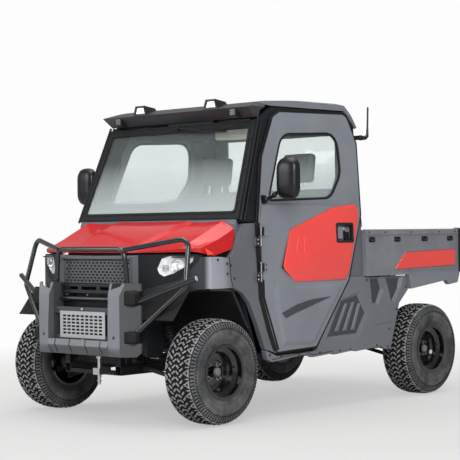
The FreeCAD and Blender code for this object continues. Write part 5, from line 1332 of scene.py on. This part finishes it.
DASH_HUMP = [(-252, 1226), (-252, 1266), (-172, 1335), (-60, 1340), (-60, 1226)]
DASH_SIDE = [(-800, 1196), (-700, 1262), (-640, 1266), (-590, 1236), (-582, 1190), (-640, 1180)]
CONSOLE_EDGE = [(-405, 1879), (-407, 1762), (140, 1749), (171, 1818), (171, 1879)]
VISOR_EDGE = [(226, 1846), (573, 1846), (573, 1736), (226, 1744)]
FOLDED_VISOR = [(-575, 1849), (-354, 1849), (-354, 1823), (-575, 1825)]
GRIP = [(-650, -571, 1676), (-636, -563, 1660), (-620, -575, 1600), (-622, -610, 1530), (-652, -643, 1494)]
REAR_GRIP = [(640, 120, 1838), (612, 130, 1812), (612, 250, 1812), (640, 262, 1838)]


def add_cabin():
    form = bmesh.new()
    add_prism(form, rounded(DASH_HUMP, 14), "Y", -750, -640, 10)
    add_prism(form, rounded(DASH_SIDE, 14), "X", -630, 630)
    add_prism(form, soft_box(376, 1244, 260, 74, 30), "Y", -700, -560, 14)
    for x in (-560, -300, 40, 200, 560):
        add_prism(form, soft_box(x, 1150, 110, 54, 14), "Y", -602, -578, 6, 1)
    for level in (1040, 1090):
        for x in (60, 100, 140):
            add_prism(form, soft_box(x, level, 26, 34, 5), "Y", -640, -575, 3, 1)
    piece("dash_top", form, "trim_black gloss_black", bevel=2)
    form = bmesh.new()
    add_prism(form, rounded(CONSOLE_EDGE, 20), "Y", -470, -380, 16)
    add_prism(form, soft_box(-120, 1812, 190, 52, 8), "Y", -476, -470, 2, 1)
    piece("roof_console", form, "trim_black gloss_black", bevel=3)
    form = bmesh.new()
    add_prism(form, rounded(VISOR_EDGE, 22), "Y", -508, -492, 3)
    add_prism(form, rounded(FOLDED_VISOR, 8), "Y", -508, -492, 3)
    add_box(form, (-600, -460, 1895), (600, 320, 1905), 1)
    piece("headliner", form, "visor_beige liner", bevel=2)
    form = bmesh.new()
    add_tube(form, smoothed(GRIP), 15, 14)
    for side, _ in SIDES:
        add_tube(form, smoothed([(side * x, y, z) for x, y, z in REAR_GRIP]), 10, 10)
    piece("grab_handles", form, "trim_black")
    form = bmesh.new()
    for x in (300, 376):
        add_prism(form, soft_box(x, 470, 50, 80, 8), "Y", -640, -628, 3)
        add_tube(form, [(x, -640, 500), (x, -700, 640)], 8, 8)
    add_tube(form, smoothed([(60, -470, 760), (60, -474, 850), (50, -480, 900)], 4), 9, 10)
    add_turned(form, [(0, 14), (14, 24), (34, 24), (46, 12)], (50, -480, 896), (0, 0, 1), 20)
    piece("cabin_controls", form, "trim_black")


add_wheels()
add_seats()
add_headlamps()
add_roof_lamps()
add_screen()
add_door_gaps()
add_inserts()
add_doors()
add_nose()
add_bed()
add_hollows()
add_panels()
add_antenna()
add_cabin()


# Studio

FLOOR_HALF = 60.0
FLOOR_NEAR, FLOOR_FAR = 2.2, 6.0
FLOOR_AWAY = (-0.65, 0.76, 0)
FLOOR_DEPTH = (-0.5, 5.0)
FLOOR_VEIL = 0.6
FLOOR_TONES = [(0.0, 0.765), (0.23, 0.87), (0.44, 0.925), (0.7, 0.965), (1.0, 0.985)]
DOME = [(0.0, 0.26), (0.3, 0.24), (0.6, 0.14), (0.8, 0.55), (1.0, 1.0)]
DOME_GAIN = 1.5
BACKDROP = 0.985


def add_stage():
    """A pale floor that holds a soft shadow near the vehicle and runs out into the white background."""
    form = bmesh.new()
    form.faces.new([form.verts.new((u, v, 0)) for u, v in box_loop(0, 0, 2 * FLOOR_HALF, 2 * FLOOR_HALF)])
    floor = add_object("studio_floor", mesh_of("studio_floor", form))
    made, tree, shader = new_material("studio_floor")
    feed(tree, shader, {"Base Color": (0.55, 0.55, 0.545, 1), "Roughness": 0.85, "Specular IOR Level": 0.1})
    reach = add_node(tree, "VectorMath", {0: place(tree)}, operation="LENGTH").outputs["Value"]
    far = map_range(tree, reach, 0.0, 1.0, FLOOR_NEAR, FLOOR_FAR, interpolation_type="SMOOTHSTEP")
    away = add_node(tree, "VectorMath", {0: place(tree), 1: FLOOR_AWAY}, operation="DOT_PRODUCT")
    deep = map_range(tree, away.outputs["Value"], 0.0, 1.0, *FLOOR_DEPTH)
    pale = calculate(tree, "MAXIMUM", far, deep)
    tone = ramp(tree, pale, [(at, (level, level, level * 0.995)) for at, level in FLOOR_TONES])
    white = add_node(tree, "Emission", {"Color": tone}).outputs["Emission"]
    seen = calculate(tree, "MULTIPLY", map_range(tree, far, FLOOR_VEIL, 1.0),
                     add_node(tree, "LightPath").outputs["Is Camera Ray"])
    mixed = mix_shader(tree, seen, shader.outputs["BSDF"], white)
    feed(tree, tree.nodes["Material Output"], {"Surface": mixed})
    floor.data.materials.append(made)


def add_lamp(name, at, target, size, power):
    data = bpy.data.lights.new(name, "AREA")
    data.shape = "RECTANGLE"
    data.size, data.size_y = size
    data.energy = power
    lamp = add_object(name, data)
    lamp.location = at
    lamp.rotation_euler = (Vector(at) - Vector(target)).to_track_quat("Z", "Y").to_euler()


def add_world():
    """White where it is seen directly or through glass; as a light, bright overhead and dim at the sides."""
    world = bpy.data.worlds.new("studio_world")
    bpy.context.scene.world = world
    world.use_nodes = True
    tree = world.node_tree
    path = add_node(tree, "LightPath")
    seen = calculate(tree, "MAXIMUM", path.outputs["Is Camera Ray"], path.outputs["Is Transmission Ray"])
    shade = ramp(tree, place(tree, "Z", "Generated"), [(at, (level, level, level)) for at, level in DOME])
    dome = calculate(tree, "MULTIPLY", shade, DOME_GAIN)
    strength = add_node(tree, "Mix", {"Factor": seen, "A": dome, "B": BACKDROP})
    feed(tree, tree.nodes["Background"], {"Strength": strength.outputs["Result"], "Color": (1, 1, 1, 1)})


add_camera()
add_stage()
add_world()
add_lamp("key", (6.2, -6.2, 4.2), (0, -0.3, 0.8), (4.5, 3.5), 490)
add_lamp("top", (0, -1.0, 6.0), (0, -0.5, 0), (4, 6), 190)
add_lamp("fill", (-5, -7, 3.5), (0, 0, 0.8), (3, 3), 150)

bpy.context.scene.view_settings.view_transform = "Standard"
